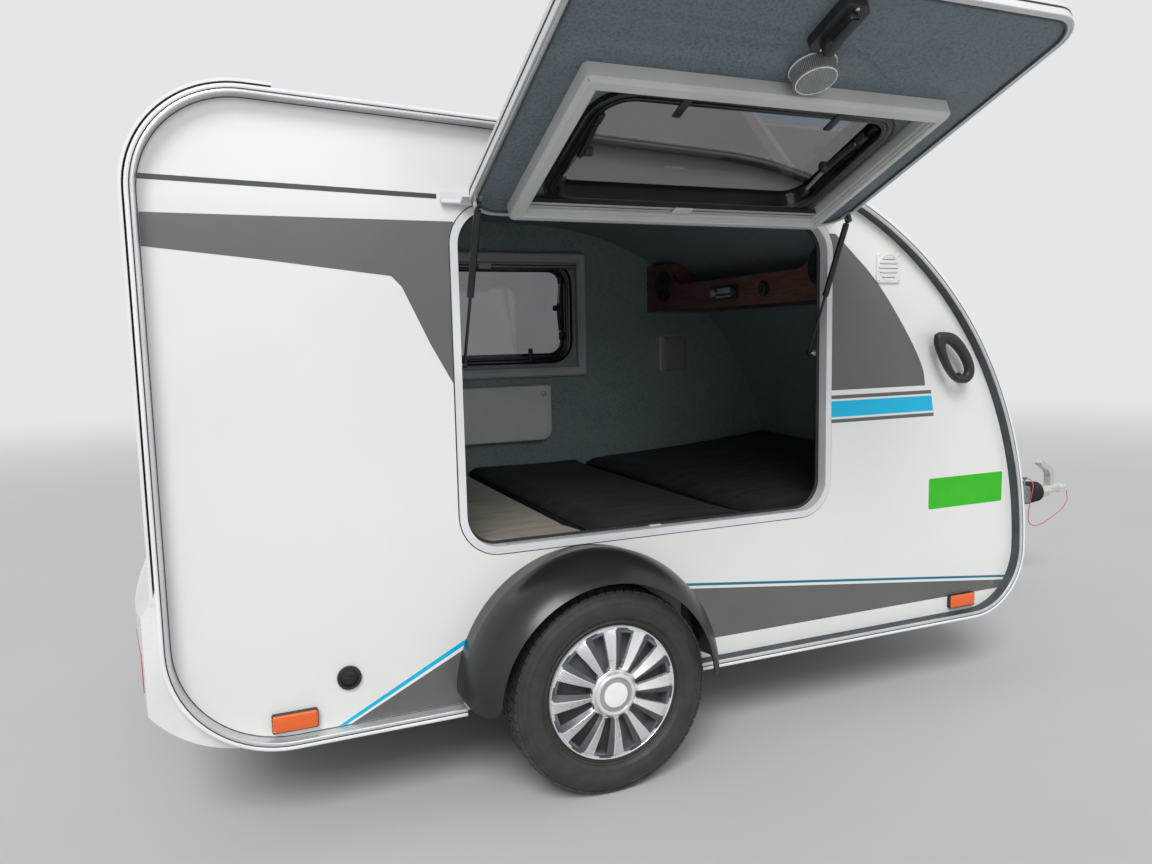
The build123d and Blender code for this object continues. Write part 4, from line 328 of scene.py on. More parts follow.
# Smooth finishes: base, tint, roughness from and to, patch scale, grain scale, bump, and the rest
for name, base, tint, low, high, patch, grain, bump, more in (
        ("trim_alloy", (214, 216, 218), (200, 203, 206), 0.22, 0.36, 8, 700, 0.15, {"Metallic": 0.55}),
        ("trim_white_edge", (238, 239, 238), (228, 230, 230), 0.2, 0.32, 6, 400, 0.1, {}),
        ("edge_rubber", (26, 27, 29), (40, 41, 43), 0.5, 0.7, 30, 900, 0.3, {}),
        # Grey rubber for seals and joints; the same grey is painted shade on the trim's inner band and at its foot
        ("inner_rubber", (68, 76, 82), (56, 64, 70), 0.45, 0.62, 20, 400, 0.25, {}),
        ("frame_white", (226, 228, 230), (212, 215, 218), 0.22, 0.34, 5, 400, 0.15, {}),
        ("bumper_white", (234, 235, 233), (224, 226, 224), 0.22, 0.34, 4, 180, 0.25, {"dust": (0.55, 0.35)}),
        ("fender_black", (29, 30, 32), (34, 35, 37), 0.25, 0.33, 2, 1500, 0.1, {"dust": (0.45, 0.08)}),
        ("window_black", (16, 17, 19), (24, 25, 27), 0.14, 0.26, 12, 400, 0.15, {}),
        ("moulded_black", (28, 29, 31), (40, 41, 43), 0.36, 0.52, 14, 1300, 0.35, {}),
        ("blind_ivory", (201, 203, 199), (191, 193, 190), 0.34, 0.48, 6, 800, 0.2, {}),
        ("blind_bar", (168, 170, 168), (154, 156, 155), 0.34, 0.48, 8, 400, 0.2, {}),
        ("locker_ivory", (228, 230, 226), (217, 219, 215), 0.36, 0.5, 5, 500, 0.25, {}),
        ("wall_pad_grey", (140, 150, 148), (128, 138, 137), 0.4, 0.55, 5, 400, 0.25, {}),
        ("fitting_white", (232, 232, 228), (220, 220, 215), 0.3, 0.42, 9, 400, 0.15, {}),
        ("rim_steel", (118, 124, 132), (92, 97, 104), 0.36, 0.55, 12, 400, 0.3,
         {"dust": (0.7, 0.2, (92, 84, 74)), "Metallic": 0.4}),
        ("cover_silver", (238, 240, 242), (226, 229, 232), 0.16, 0.26, 16, 2600, 0.1,
         {"Metallic": 0.6, "Coat_Weight": 0.5}),
        # Painted shade: the smooth facet of each spoke is a dark copy of the cover's silver, as its side turned from
        # the light
        ("cover_smooth_facet", (98, 101, 106), (86, 89, 94), 0.26, 0.38, 16, 2600, 0.12,
         {"Metallic": 0.65, "Coat_Weight": 0.3}),
        ("cap_white", (236, 238, 240), (226, 229, 232), 0.16, 0.24, 9, 400, 0.1, {"Coat_Weight": 0.6}),
        ("tyre_side", (46, 44, 41), (35, 34, 32), 0.5, 0.7, 26, 1500, 0.35, {"dust": (0.6, 0.14)}),
        ("tyre_tread", (32, 31, 30), (42, 40, 38), 0.66, 0.84, 40, 1200, 0.4, {"dust": (0.7, 0.25)}),
        ("film_grey", (101, 101, 99), (95, 95, 94), 0.18, 0.28, 3, 400, 0.1, {}),
        ("film_cyan", (0, 184, 226), (0, 178, 220), 0.16, 0.24, 4, 400, 0.1, {}),
        ("film_teal", (38, 118, 146), (30, 108, 138), 0.18, 0.26, 5, 400, 0.1, {}),
        ("film_green", (52, 190, 24), (46, 182, 20), 0.2, 0.3, 8, 400, 0.1, {}),
        ("film_line", (52, 56, 58), (60, 64, 66), 0.22, 0.3, 6, 400, 0.1, {}),
        ("film_white", (240, 241, 240), (234, 235, 234), 0.16, 0.24, 5, 400, 0.1, {}),
        ("frosted_lens", (190, 196, 198), (170, 177, 180), 0.28, 0.42, 30, 400, 0.2, {"Transmission_Weight": 0.35}),
        # Painted shade: a darker copy of the frosted lens for the lamp's drum between its ribs and prisms
        ("frosted_rib", (132, 138, 140), (118, 124, 127), 0.3, 0.45, 30, 400, 0.2, {}),
        ("strut_black", (20, 21, 23), (30, 31, 33), 0.18, 0.3, 20, 400, 0.12, {}),
        ("bellows_black", (24, 22, 26), (36, 33, 38), 0.22, 0.38, 18, 400, 0.25, {"dust": (0.8, 0.12)}),
        ("radio_face", (22, 24, 28), (34, 38, 44), 0.1, 0.2, 30, 400, 0.1, {}),
        ("silver_moulding", (176, 180, 184), (160, 164, 168), 0.24, 0.36, 20, 400, 0.15, {"Metallic": 0.5}),
        ("smoked_acrylic", (136, 132, 136), (128, 124, 130), 0.02, 0.05, 3, 400, 0.02,
         {"Transmission_Weight": 0.92, "IOR": 1.49})):
    finish(name, painted_face, base, tint, low, high, bump, Patch_Scale=patch, Grain_Scale=grain, **more)

finish("lining_board", pebbled_face, (144, 161, 166), (110, 127, 134), 0.55, 0.75, 0.35, Pebble_Scale=190.0)
finish("cable_red", pebbled_face, (208, 92, 84), (168, 66, 60), 0.3, 0.45, 0.3, 0.0002, Pebble_Scale=900.0,
       Coat_Weight=0.4)
finish("floor_board", timber_grain, (150, 132, 108), (104, 88, 70), bump=0.3, Along=(1.5, 8.0, 8.0))
finish("birch_board", timber_grain, (206, 190, 162), (180, 160, 128), 0.4, 0.55, Along=(5.0, 1.4, 9.0))
finish("walnut_board", timber_grain, (128, 88, 70), (70, 44, 36), bump=0.25)
finish("galvanised", zinc_crystals, (176, 180, 184), (132, 136, 140), bump=0.15, dust=(0.7, 0.25), Metallic=0.85)
finish("bright_zinc", zinc_crystals, (232, 232, 228), (198, 198, 192), 0.22, 0.4, 0.1, Crystal_Scale=240.0,
       Metallic=0.7)
finish("cover_dimpled_facet", dimple_grid, (240, 242, 244), (122, 125, 129), bump=0.7, depth=0.0007, Pitch=0.0078,
       Metallic=0.55)
finish("amber_lens", dimple_grid, (242, 102, 8), (204, 74, 2), 0.1, 0.18, 0.6, 0.0006, Pitch=0.0062, Coat_Weight=1.0)
finish("red_lens", ribbed_face, (190, 22, 20), (140, 10, 12), 0.1, 0.18, 0.5, Direction=(0, 1, 0), Pitch=0.006,
       Coat_Weight=1.0)
finish("drawn_alloy", ribbed_face, (188, 191, 194), (120, 123, 127), 0.25, 0.4, 0.5, Direction=(0, 1, 0),
       Metallic=0.85)
finish("cushion_anthracite", brushed_pile, (11, 12, 17), (36, 37, 43), bump=0.8, depth=0.002, Sheen_Weight=0.05,
       Sheen_Roughness=0.4, Specular_IOR_Level=0.2)
finish("cushion_taupe", brushed_pile, (118, 110, 99), (150, 140, 126), bump=0.6, depth=0.0014, Sheen_Weight=0.2,
       Sheen_Roughness=0.4)
finish("cushion_piping", brushed_pile, (14, 14, 17), (26, 26, 29), bump=0.4, Pile_Scale=1400.0)


# Finishes that many pieces share
BLACK, SILVER = "moulded_black", "silver_moulding"


# Mesh helpers
def put(name, data):
    """A new object in the scene."""
    shape = bpy.data.objects.new(name, data)
    scene.collection.objects.link(shape)
    return shape


def sharpen(shape, angle=38.0):
    shape.data.shade_smooth()
    shape.data.set_sharp_from_angle(angle=radians(angle))
    return shape


def settle(shape, material=None, smooth_angle=38.0, merge=True):
    """Clean a new mesh object: doubles merged, faces outward, creases kept sharp, material set."""
    mesh = shape.data
    work = bmesh.new()
    work.from_mesh(mesh)
    if merge:
        bmesh.ops.remove_doubles(work, verts=work.verts, dist=0.00001)
    bmesh.ops.recalc_face_normals(work, faces=work.faces)
    work.to_mesh(mesh)
    work.free()
    if material:
        mesh.materials.clear()
        mesh.materials.append(FINISHES[material])
    return sharpen(shape, smooth_angle)


def new_shape(name, corners, faces, material=None, **how):
    mesh = bpy.data.meshes.new(name)
    mesh.from_pydata([tuple(c) for c in corners], [], faces)
    return settle(put(name, mesh), material, **how)


def take_result(shape):
    """Replace an object's mesh by what its modifiers make of it, and drop the modifiers."""
    bpy.context.view_layer.update()
    mesh = bpy.data.meshes.new_from_object(shape.evaluated_get(bpy.context.evaluated_depsgraph_get()))
    if shape.type == "MESH":
        shape.modifiers.clear()
        shape.data = mesh
    return mesh


def modified(shape, kind, **settings):
    """Run one modifier on a shape and keep what it makes."""
    modifier = shape.modifiers.new(kind.lower(), kind)
    for key, value in settings.items():
        setattr(modifier, key, value)
    take_result(shape)


def rounded(shape, width):
    """Round the sharp edges of a shape."""
    modified(shape, "BEVEL", width=width, segments=2, limit_method="ANGLE", angle_limit=radians(40),
             harden_normals=False)
    return sharpen(shape, 50)


def turned(steps):
    """The cosines and sines of even steps round a circle."""
    return [(cos(2 * pi * k / steps), sin(2 * pi * k / steps)) for k in range(steps)]


def near(level, *pairs):
    """Section points: each a size and a distance from a level, given in millimetres."""
    return [(size / 1000, level + out / 1000) for size, out in pairs]


def beside(place, *points):
    """Points given in millimetres from a place."""
    return [tuple(p + step / 1000 for p, step in zip(place, point)) for point in points]


def at_y(points, y):
    return [(x, y, z) for x, z in points]


def loft(name, rings, material, around=True, closed_section=False, capped=False, **how):
    """Skin a row of equal rings of points; closed_section joins the last ring to the first."""
    count, rows = len(rings[0]), len(rings)
    faces = []
    for i in range(rows if closed_section else rows - 1):
        a, b = i * count, (i + 1) % rows * count
        for k in range(count if around else count - 1):
            n = (k + 1) % count
            faces.append((a + k, a + n, b + n, b + k))
    if capped and around:
        faces += [tuple(range(first, first + count)) for first in (0, (rows - 1) * count)]
    elif capped:
        faces += [tuple(i * count + k for i in range(rows)) for k in (0, count - 1)]
    return new_shape(name, [p for ring in rings for p in ring], faces, material, **how)


BOX_FACES = [(0, 1, 3, 2), (4, 6, 7, 5), (0, 4, 5, 1), (2, 3, 7, 6), (0, 2, 6, 4), (1, 5, 7, 3)]
PRISM_FACES = [(0, 1, 2, 3), (4, 7, 6, 5), (0, 4, 5, 1), (1, 5, 6, 2), (2, 6, 7, 3), (3, 7, 4, 0)]


def block(name, low, high, material, rounding=0.0):
    """A box between two corners, with its edges rounded."""
    corners = [(x, y, z) for x in (low[0], high[0]) for y in (low[1], high[1]) for z in (low[2], high[2])]
    shape = new_shape(name, corners, BOX_FACES, material)
    return rounded(shape, rounding) if rounding else shape


def lathe(name, profile, material, axis="Y", steps=96, centre=(0, 0, 0), **how):
    """Turn a line of (radius, place along the axis) about the X or Y axis through centre."""
    cx, cy, cz = centre
    rings = [[(cx + r * c, cy + along, cz + r * s) if axis == "Y" else (cx + along, cy + r * c, cz + r * s)
              for c, s in turned(steps)] for r, along in profile]
    return loft(name, rings, material, **how)


def swept(name, route, radius, material, steps=12, closed=False):
    """A round tube along a row of points, its ends closed."""
    points = [Vector(p) for p in route]
    rings = []
    side = None
    for i, place in enumerate(points):
        before = points[i - 1] if i or closed else points[0]
        after = points[(i + 1) % len(points)] if i < len(points) - 1 or closed else points[-1]
        way = (after - before).normalized()
        side = way.orthogonal().normalized() if side is None else (side - way * side.dot(way)).normalized()
        other = way.cross(side)
        rings.append([place + (side * c + other * s) * radius for c, s in turned(steps)])
    return loft(name, rings, material, closed_section=closed, capped=not closed)


def tube(name, start, end, radius, material, steps=20, rounding=0.0):
    """A straight round bar with flat ends."""
    shape = swept(name, (start, end), radius, material, steps)
    return rounded(shape, rounding) if rounding else shape


def joined(name, pieces):
    """One object from several, each keeping its material."""
    mesh = bpy.data.meshes.new(name)
    work = bmesh.new()
    materials = []
    for piece in pieces:
        first = len(work.faces)
        work.from_mesh(piece.data)
        work.faces.ensure_lookup_table()
        kept = list(piece.data.materials)
        materials += [material for material in kept if material not in materials]
        for surface in work.faces[first:]:
            surface.material_index = materials.index(kept[min(surface.material_index, len(kept) - 1)])
    work.to_mesh(mesh)
    work.free()
    for material in materials:
        mesh.materials.append(material)
    for piece in pieces:
        bpy.data.objects.remove(piece)
    return put(name, mesh)


def moved(shape, matrix):
    shape.data.transform(matrix)
    if matrix.determinant() < 0:
        shape.data.flip_normals()
    return shape


MIRROR = Matrix.Scale(-1, 4, (0, 1, 0))
DOOR_TURN = Matrix.Translation(HINGE) @ Matrix.Rotation(DOOR_ANGLE, 4, "X") @ Matrix.Translation(-HINGE)


def ride(shape, body, slot, *nodes):
    """Fix a piece to a body and hide the CAD nodes it stands for. The slot is not used."""
    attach(shape, body)
    if nodes:
        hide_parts(*nodes)
    return shape


def ride_door(shape, slot, *nodes):
    """Turn a piece drawn on the closed door to the open door and fix it there."""
    return ride(moved(shape, DOOR_TURN), "door", slot, *nodes)


def ride_pair(shape, slot):
    """Fix a right-hand piece and its mirror image on the left to the body."""
    twin = moved(put(shape.name.replace("_right", "_left"), shape.data.copy()), MIRROR)
    ride(shape, "body", slot)
    ride(twin, "body", slot)


# Outlines
def roof_angle():
    dx, dz = REAR_TOP_CENTRE[0] - SWEEP_CENTRE[0], REAR_TOP_CENTRE[1] - SWEEP_CENTRE[1]
    return degrees(atan2(dz, dx) - acos((SWEEP_RADIUS - REAR_TOP_RADIUS) / hypot(dx, dz)))


def arc_points(centre, radius, start, turn, steps):
    angles = [radians(start + turn * k / steps) for k in range(steps + 1)]
    return [(centre[0] + radius * cos(a), centre[1] + radius * sin(a)) for a in angles]


def body_line(inset, open_at_wheels=False):
    """The side outline of the body, set in by inset, as (x, z) points."""
    up = roof_angle()
    rear_low = arc_points(REAR_LOW_CENTRE, REAR_LOW_RADIUS - inset, 180, 90, 18)
    front = (arc_points(FRONT_LOW_CENTRE, FRONT_LOW_RADIUS - inset, 270, 90, 18)
             + arc_points(SWEEP_CENTRE, SWEEP_RADIUS - inset, 0, up, 48)
             + arc_points(REAR_TOP_CENTRE, REAR_TOP_RADIUS - inset, up, 180 - up, 20))
    if open_at_wheels:
        return [(WHEEL_GAP[1], LOW_Z + inset)] + front + rear_low + [(WHEEL_GAP[0], LOW_Z + inset)]
    return rear_low + front


def round_box(shape, grow=0.0, steps=8):
    """The outline of a round-cornered box grown by grow, as (x, z) points."""
    x0, x1, z0, z1, radius = shape
    x0, x1, z0, z1, radius = x0 - grow, x1 + grow, z0 - grow, z1 + grow, max(radius + grow, 0.0006)
    points = []
    for x, z, start in ((x1 - radius, z0 + radius, 270), (x1 - radius, z1 - radius, 0),
                        (x0 + radius, z1 - radius, 90), (x0 + radius, z0 + radius, 180)):
        points += arc_points((x, z), radius, start, 90, steps)
    return points


def box_rings(name, shape, section, material, steps=8, closed_section=True, **how):
    """A band round a round-cornered box, or with capped a pad; section is a list of (grow, y)."""
    rings = [at_y(round_box(shape, grow, steps), y) for grow, y in section]
    return loft(name, rings, material, closed_section=closed_section, **how)


def clipped(points, edge):
    """The part of a flat outline that lies inside a convex edge."""
    for a, b in zip(edge, edge[1:] + edge[:1]):
        if hypot(b[0] - a[0], b[1] - a[1]) < 1e-6:
            continue
        sides = [(b[0] - a[0]) * (p[1] - a[1]) - (b[1] - a[1]) * (p[0] - a[0]) for p in points]
        kept = []
        for k, (p, here) in enumerate(zip(points, sides)):
            q, there = points[(k + 1) % len(points)], sides[(k + 1) % len(points)]
            if here >= -1e-9:
                kept.append(p)
            if (here >= -1e-9) != (there >= -1e-9):
                share = here / (here - there)
                kept.append((p[0] + (q[0] - p[0]) * share, p[1] + (q[1] - p[1]) * share))
        points = kept
    return points


def between(points, x_low, x_high):
    """The part of an outline between two upright lines."""
    return clipped(points, [(x_low, -9), (x_high, -9), (x_high, 9), (x_low, 9)])


def flat_sheet(name, outlines, material, stand=0.0004):
    """A thin sheet on the right-hand wall: the first outline is its edge, the others are holes."""
    depth = 0.0002
    curve = bpy.data.curves.new(name, "CURVE")
    curve.dimensions = "2D"
    curve.fill_mode = "BOTH"
    curve.extrude = (stand + depth) / 2
    for outline in outlines:
        spline = curve.splines.new("POLY")
        spline.points.add(len(outline) - 1)
        for point, (x, z) in zip(spline.points, outline):
            point.co = (x, z, 0, 1)
        spline.use_cyclic_u = True
    holder = put(name + "_line", curve)
    mesh = take_result(holder)
    bpy.data.objects.remove(holder)
    mesh.transform(Matrix(((1, 0, 0, 0), (0, 0, 1, OUTER + (depth - stand) / 2), (0, 1, 0, 0), (0, 0, 0, 1))))
    return settle(put(name, mesh), material)


# Repeats made with geometry nodes
def repeat_tree(name, around):
    """A tree that copies a piece in a straight row, or turned about the Y axis through a centre."""
    nowhere = (0.0, 0.0, 0.0)
    spread = ((("Centre", "Vector", nowhere), ("Start Angle", "Float", 0.0)) if around
              else (("Start", "Vector", nowhere), ("Step", "Vector", (0.1, 0.0, 0.0))))
    tree = bpy.data.node_groups.new(name, "GeometryNodeTree")
    tree.interface.new_socket("Geometry", in_out="OUTPUT", socket_type="NodeSocketGeometry")
    for label, kind, value in (("Piece", "Object", None), ("Count", "Int", 12), *spread, ("Finish", "Material", None)):
        socket = tree.interface.new_socket(label, in_out="INPUT", socket_type="NodeSocket" + kind)
        if value is not None:
            socket.default_value = value
    g, given = Graph(tree), tree.nodes.new("NodeGroupInput").outputs
    line = g.add("GeometryNodeMeshLine", {"Count": given["Count"], "Start Location": given[spread[0][0]],
                                          "Offset": nowhere if around else given["Step"]})[0]
    source = g.add("GeometryNodeObjectInfo", {"Object": given["Piece"], "As Instance": True})["Geometry"]
    copies = {"Points": line, "Instance": source}
    if around:
        step = g.calc("DIVIDE", 2 * pi, given["Count"])
        angle = g.calc("MULTIPLY_ADD", g.add("GeometryNodeInputIndex")[0], step, given["Start Angle"])
        turn = g.add("ShaderNodeCombineXYZ", {1: angle})[0]
        copies["Rotation"] = g.add("FunctionNodeEulerToRotation", {0: turn})[0]
    real = g.add("GeometryNodeRealizeInstances", {0: g.add("GeometryNodeInstanceOnPoints", copies)[0]})[0]
    surfaced = g.add("GeometryNodeSetMaterial", {"Geometry": real, "Material": given["Finish"]})[0]
    tree.links.new(surfaced, tree.nodes.new("NodeGroupOutput").inputs["Geometry"])
    return tree


AROUND, IN_A_ROW = repeat_tree("repeat_around", True), repeat_tree("repeat_in_a_row", False)


def repeated(name, tree, material, piece, **values):
    """Run a repeat tree on a small piece and keep the result as a plain mesh."""
    holder = put(name, bpy.data.meshes.new(name))
    repeat = holder.modifiers.new("repeat", "NODES")
    repeat.node_group = tree
    values.update(Piece=piece, Finish=FINISHES[material])
    for item in tree.interface.items_tree:
        label = item.name.replace(" ", "_")
        if item.in_out == "INPUT" and label in values:
            repeat[item.identifier] = values[label]
    take_result(holder)
    bpy.data.objects.remove(piece)
    return sharpen(holder)


def block_at(name, place, low, high, material, rounding=0.0):
    """A box whose corners are given in millimetres from a place."""
    return block(name, *beside(place, low, high), material, rounding)


def screw_head(radius, height):
    """A small domed cross-slot screw that faces out of the right-hand side."""
    profile = [(radius * share, -height * out) for share, out in
               ((1.0, 0.0), (1.0, 0.45), (0.8, 0.85), (0.42, 1.0), (0.36, 0.55))]
    return lathe("screw_blank", profile, None, steps=16, capped=True)


def make_camera():
    """The camera stands where the photograph was taken."""
    eye = bpy.data.cameras.new("photo_camera")
    eye.lens, eye.sensor_width, eye.sensor_fit = 27.02, 36.0, "HORIZONTAL"
    eye.clip_start, eye.clip_end = 0.05, 120.0
    holder = put("photo_camera", eye)
    right, up, back = (0.9222, -0.386, -0.0224), (0.0626, 0.092, 0.9938), (-0.3815, -0.9179, 0.1089)
    turn = Matrix((right, up, back)).transposed().to_4x4()
    holder.matrix_world = Matrix.Translation((-0.922, -2.908, 1.218)) @ turn
    scene.camera = holder


def make_cable():
    """The breakaway cable, from its guide on the housing down and forward to the coupling's lug."""
    line = bpy.data.curves.new("breakaway_line", "CURVE")
    line.dimensions = "3D"
    line.bevel_depth = CABLE_RADIUS
    line.bevel_resolution = 3
    line.resolution_u = 6
    spline = line.splines.new("NURBS")
    spline.points.add(len(CABLE_ROUTE) - 1)
    for point, place in zip(spline.points, CABLE_ROUTE):
        point.co = (*place, 1.0)
    spline.order_u = 3
    spline.use_endpoint_u = True
    line.materials.append(FINISHES["cable_red"])
    cable = ride(put("breakaway_line", line), "body", "cable_red", "breakaway_cable")


def make_studio():
    """A pale floor that fades into a pale surround, two broad soft lamps and an even sky."""
    surround = paint(228, 230, 232)
    rings = [[(r * c, r * s, 0.0) for c, s in turned(96)] for r in (0.001, 2.0, 4.0, 8.0, 16.0, 34.0)]
    ground = loft("studio_floor", rings, None)
    material = bpy.data.materials.new("studio_floor")
    material.use_nodes = True
    g = Graph(material.node_tree)
    shader = next(n for n in g.tree.nodes if n.type == "BSDF_PRINCIPLED")
    place = g.place()
    shade = g.colour(g.cloud(place, 1.2), paint(196, 197, 198), paint(190, 191, 192))
    g.tree.links.new(shade, shader.inputs["Base Color"])
    shader.inputs["Roughness"].default_value = 0.9
    shader.inputs["Specular IOR Level"].default_value = 0.2
    fade = g.remap(g.vector("LENGTH", place), 5.0, 15.0, interpolation_type="SMOOTHSTEP")
    share = g.calc("MULTIPLY", fade, g.add("ShaderNodeLightPath")["Is Camera Ray"])
    glow = g.add("ShaderNodeEmission", {"Color": surround, "Strength": 1.0})[0]
    mix = g.add("ShaderNodeMixShader", {0: share, 1: shader.outputs[0], 2: glow})[0]
    end = next(n for n in g.tree.nodes if n.type == "OUTPUT_MATERIAL")
    g.tree.links.new(mix, end.inputs["Surface"])
    ground.data.materials.append(material)

    sky = scene.world = bpy.data.worlds.new("studio_sky")
    sky.use_nodes = True
    g = Graph(sky.node_tree)
    g.tree.nodes.clear()
    path = g.add("ShaderNodeLightPath")
    plain = g.calc("MAXIMUM", g.calc("MAXIMUM", path["Is Camera Ray"], path["Is Glossy Ray"]),
                   path["Is Transmission Ray"])
    lit = g.add("ShaderNodeBackground", {"Color": paint(250, 251, 255), "Strength": 0.52})[0]
    seen = g.add("ShaderNodeBackground", {"Color": surround, "Strength": 1.0})[0]
    mix = g.add("ShaderNodeMixShader", {0: plain, 1: lit, 2: seen})[0]
    g.tree.links.new(mix, g.tree.nodes.new("ShaderNodeOutputWorld").inputs["Surface"])

    lamp = bpy.data.lights.new("broad_lamp", "SUN")
    lamp.energy, lamp.angle, lamp.color = 2.1, radians(28), (1.0, 0.985, 0.96)
    put("broad_lamp", lamp).rotation_euler = Vector((0.55, 1.0, -1.15)).to_track_quat("-Z", "Y").to_euler()
    panel = bpy.data.lights.new("side_lamp", "AREA")
    panel.shape, panel.size, panel.size_y, panel.energy = "RECTANGLE", 4.0, 3.0, 84.0
    holder = put("side_lamp", panel)
    holder.location = (-0.8, -8.4, 4.2)
    holder.rotation_euler = (Vector((0.3, 0.0, 0.9)) - holder.location).to_track_quat("-Z", "Y").to_euler()
    scene.view_settings.view_transform = "Standard"


# CAD nodes that keep their shape and get their finish
NODE_FINISHES = {
    "panel_right": "side_panel_right", "panel_left": "side_panel_left", "roof_skin": "roof_shell rear_panel",
    "door_skin": "door_panel", "hatch_skin": "hatch_panel", "lining_board": "bulkhead",
    "floor_board": "floor_panel", "trim_alloy": "edge_trim_right edge_trim_left",
    "frame_white": "door_frame door_edge", "bumper_white": "rear_bumper", "fender_black": "fenders",
    "galvanised": "chassis_frame drawbar_arms axle_beam overrun_housing jockey_mast jockey_leg jockey_fork",
    "bright_zinc": "coupling_head hatch_hinges door_brackets drawbar_levers", "bellows_black": "drawbar_gaiter",
    "moulded_black": "side_markers shelf_fittings door_latch hatch_handle loop_handles service_port",
    "red_lens": "tail_lamps", "window_black": "left_window_frame door_window_frame",
    "smoked_acrylic": "left_window_pane door_window_pane", "blind_ivory": "left_blind_frame door_blind_frame",
    "birch_board": "galley_unit", "cushion_taupe": "mattress_rear",
    "cushion_anthracite": "mattress_middle mattress_front", "walnut_board": "front_shelf",
    "locker_ivory": "wall_locker wall_pad", "fitting_white": "side_vents", "frosted_lens": "door_lamp",
    "strut_black": "strut_tube_rear strut_tube_front strut_rod_rear strut_rod_front",
    "tyre_side": "tyre_right tyre_left jockey_wheel", "rim_steel": "wheel_rim_right wheel_rim_left",
    "cover_silver": "wheel_cover_right wheel_cover_left"}


def dress_nodes():
    """Put one finish on every material place of each node."""
    for material, names in NODE_FINISHES.items():
        for name in names.split():
            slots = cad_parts[name].data.materials
            if not slots:
                slots.append(FINISHES[material])
            for i in range(len(slots)):
                slots[i] = FINISHES[material]


# Body trims
def open_line(inset):
    return body_line(inset, open_at_wheels=True)


def front_line(inset, rear_end=0.3):
    """The outline from under the front wheel gap round the nose to a place on the roof."""
    line = open_line(inset)
    rearmost = line.index(min(line, key=lambda p: p[0] + (p[1] < 1.0)))
    return [p for p in line[:rearmost] if p[0] > rear_end]


def make_trims():
    """Strips along the edge trim, as (inset from the outline, place across) in millimetres from a face."""
    for name, material, slot, line, section in (
            ("bright", "trim_white_edge", "edge_trim", open_line, near(
                TRIM_FACE, (8.5, 0.5), (8.5, -1), (6, -2.4), (2.4, -2.4), (-0.6, -0.4), (-1, 4), (0, 4))),
            ("insert", "edge_rubber", "rubber_black", open_line, near(
                TRIM_FACE, (8.6, 0.5), (8.6, -0.6), (9.4, -1), (10.4, -1), (11.2, -0.6), (11.2, 0.5))),
            ("step", "trim_alloy", "edge_trim", open_line, near(
                TRIM_FACE, (11.4, 0.5), (11.4, -1), (13, -1.8), (17.8, -1.8), (20, -0.4), (20.3, 3), (19.9, 3))),
            # lining: a dark grey band painted as the shaded inner face of the trim along the nose
            ("lining", "inner_rubber", "rubber_black", front_line, near(
                OUTER, (19.6, -31), (20.4, -31), (20.6, -6), (22.2, -3), (22.8, -0.1), (19.6, -0.1))),
            # sealant: a bead coloured dark grey, partly a sealant bead and partly a painted shadow line where the trim
            # meets the wall
            ("sealant", "inner_rubber", "rubber_black", open_line, near(
                OUTER, (19.8, -0.1), (19.8, -1.6), (21.2, -1), (21.8, -0.1)))):
        rings = [at_y(line(inset), y) for inset, y in section]
        ride_pair(loft("trim_" + name + "_right", rings, material, around=False, closed_section=True, capped=True),
                  slot)


# Coloured films on the body sides and on the door
def smooth_corner(points, rounds=2):
    """Round the corners of a run of points by cutting them again and again."""
    for _ in range(rounds):
        cut = []
        for (ax, az), (bx, bz) in zip(points, points[1:]):
            cut += [(ax * 0.75 + bx * 0.25, az * 0.75 + bz * 0.25), (ax * 0.25 + bx * 0.75, az * 0.25 + bz * 0.75)]
        points = [points[0]] + cut + [points[-1]]
    return points


FILM_EDGE, DOORWAY_GAP, DOOR_BORDER, PANE_BORDER, STRIPE_REAR = 0.0225, 0.008, 0.016, 0.026, -0.3
BAND_REAR = [(-1.08, 1.515), (-1.08, 1.443), (-0.801, 1.414), (-0.505, 1.378), (-0.48, 1.352), (-0.413, 1.208),
             (-0.32, 1.036)]
BAND_FRONT = [(0.85, 1.5135), (0.895, 1.475), (1.012, 1.375), (1.138, 1.212), (1.209, 1.095), (1.218, 1.036)]
LOW_FILMS = (
    ("film_top_stripe", [(-1.06, 1.599), (-1.06, 1.587), (-0.384, 1.569), (-0.384, 1.581)], "film_line"),
    ("film_front_line", [(0.3, 0.4935), (0.3, 0.4855), (1.625, 0.342), (1.625, 0.35)], "film_teal"),
    ("film_front_wedge", [(0.3, 0.477), (0.3, 0.311), (1.625, 0.311), (1.625, 0.3335)], "film_grey"),
    ("film_rear_line", [(-0.735, 0.231), (-0.717, 0.231), (-0.236, 0.473), (-0.246, 0.483)], "film_cyan"),
    ("film_rear_edge", [(-0.7165, 0.231), (-0.706, 0.231), (-0.228, 0.465), (-0.2355, 0.4722)], "film_white"),
    ("film_rear_wedge", [(-0.7055, 0.231), (-0.23, 0.231), (-0.23, 0.464)], "film_grey"))


def strip(x1, z0, z1, slant):
    """A level stripe from the door's rear edge to x1, its front end slanting."""
    return [(STRIPE_REAR, z0), (x1 + slant, z0), (x1, z1), (STRIPE_REAR, z1)]


def put_film(name, outline, material, *holes):
    """A film on the right-hand wall, kept clear of the edge trim."""
    return flat_sheet(name, [clipped(outline, body_line(FILM_EDGE)), *holes], material)


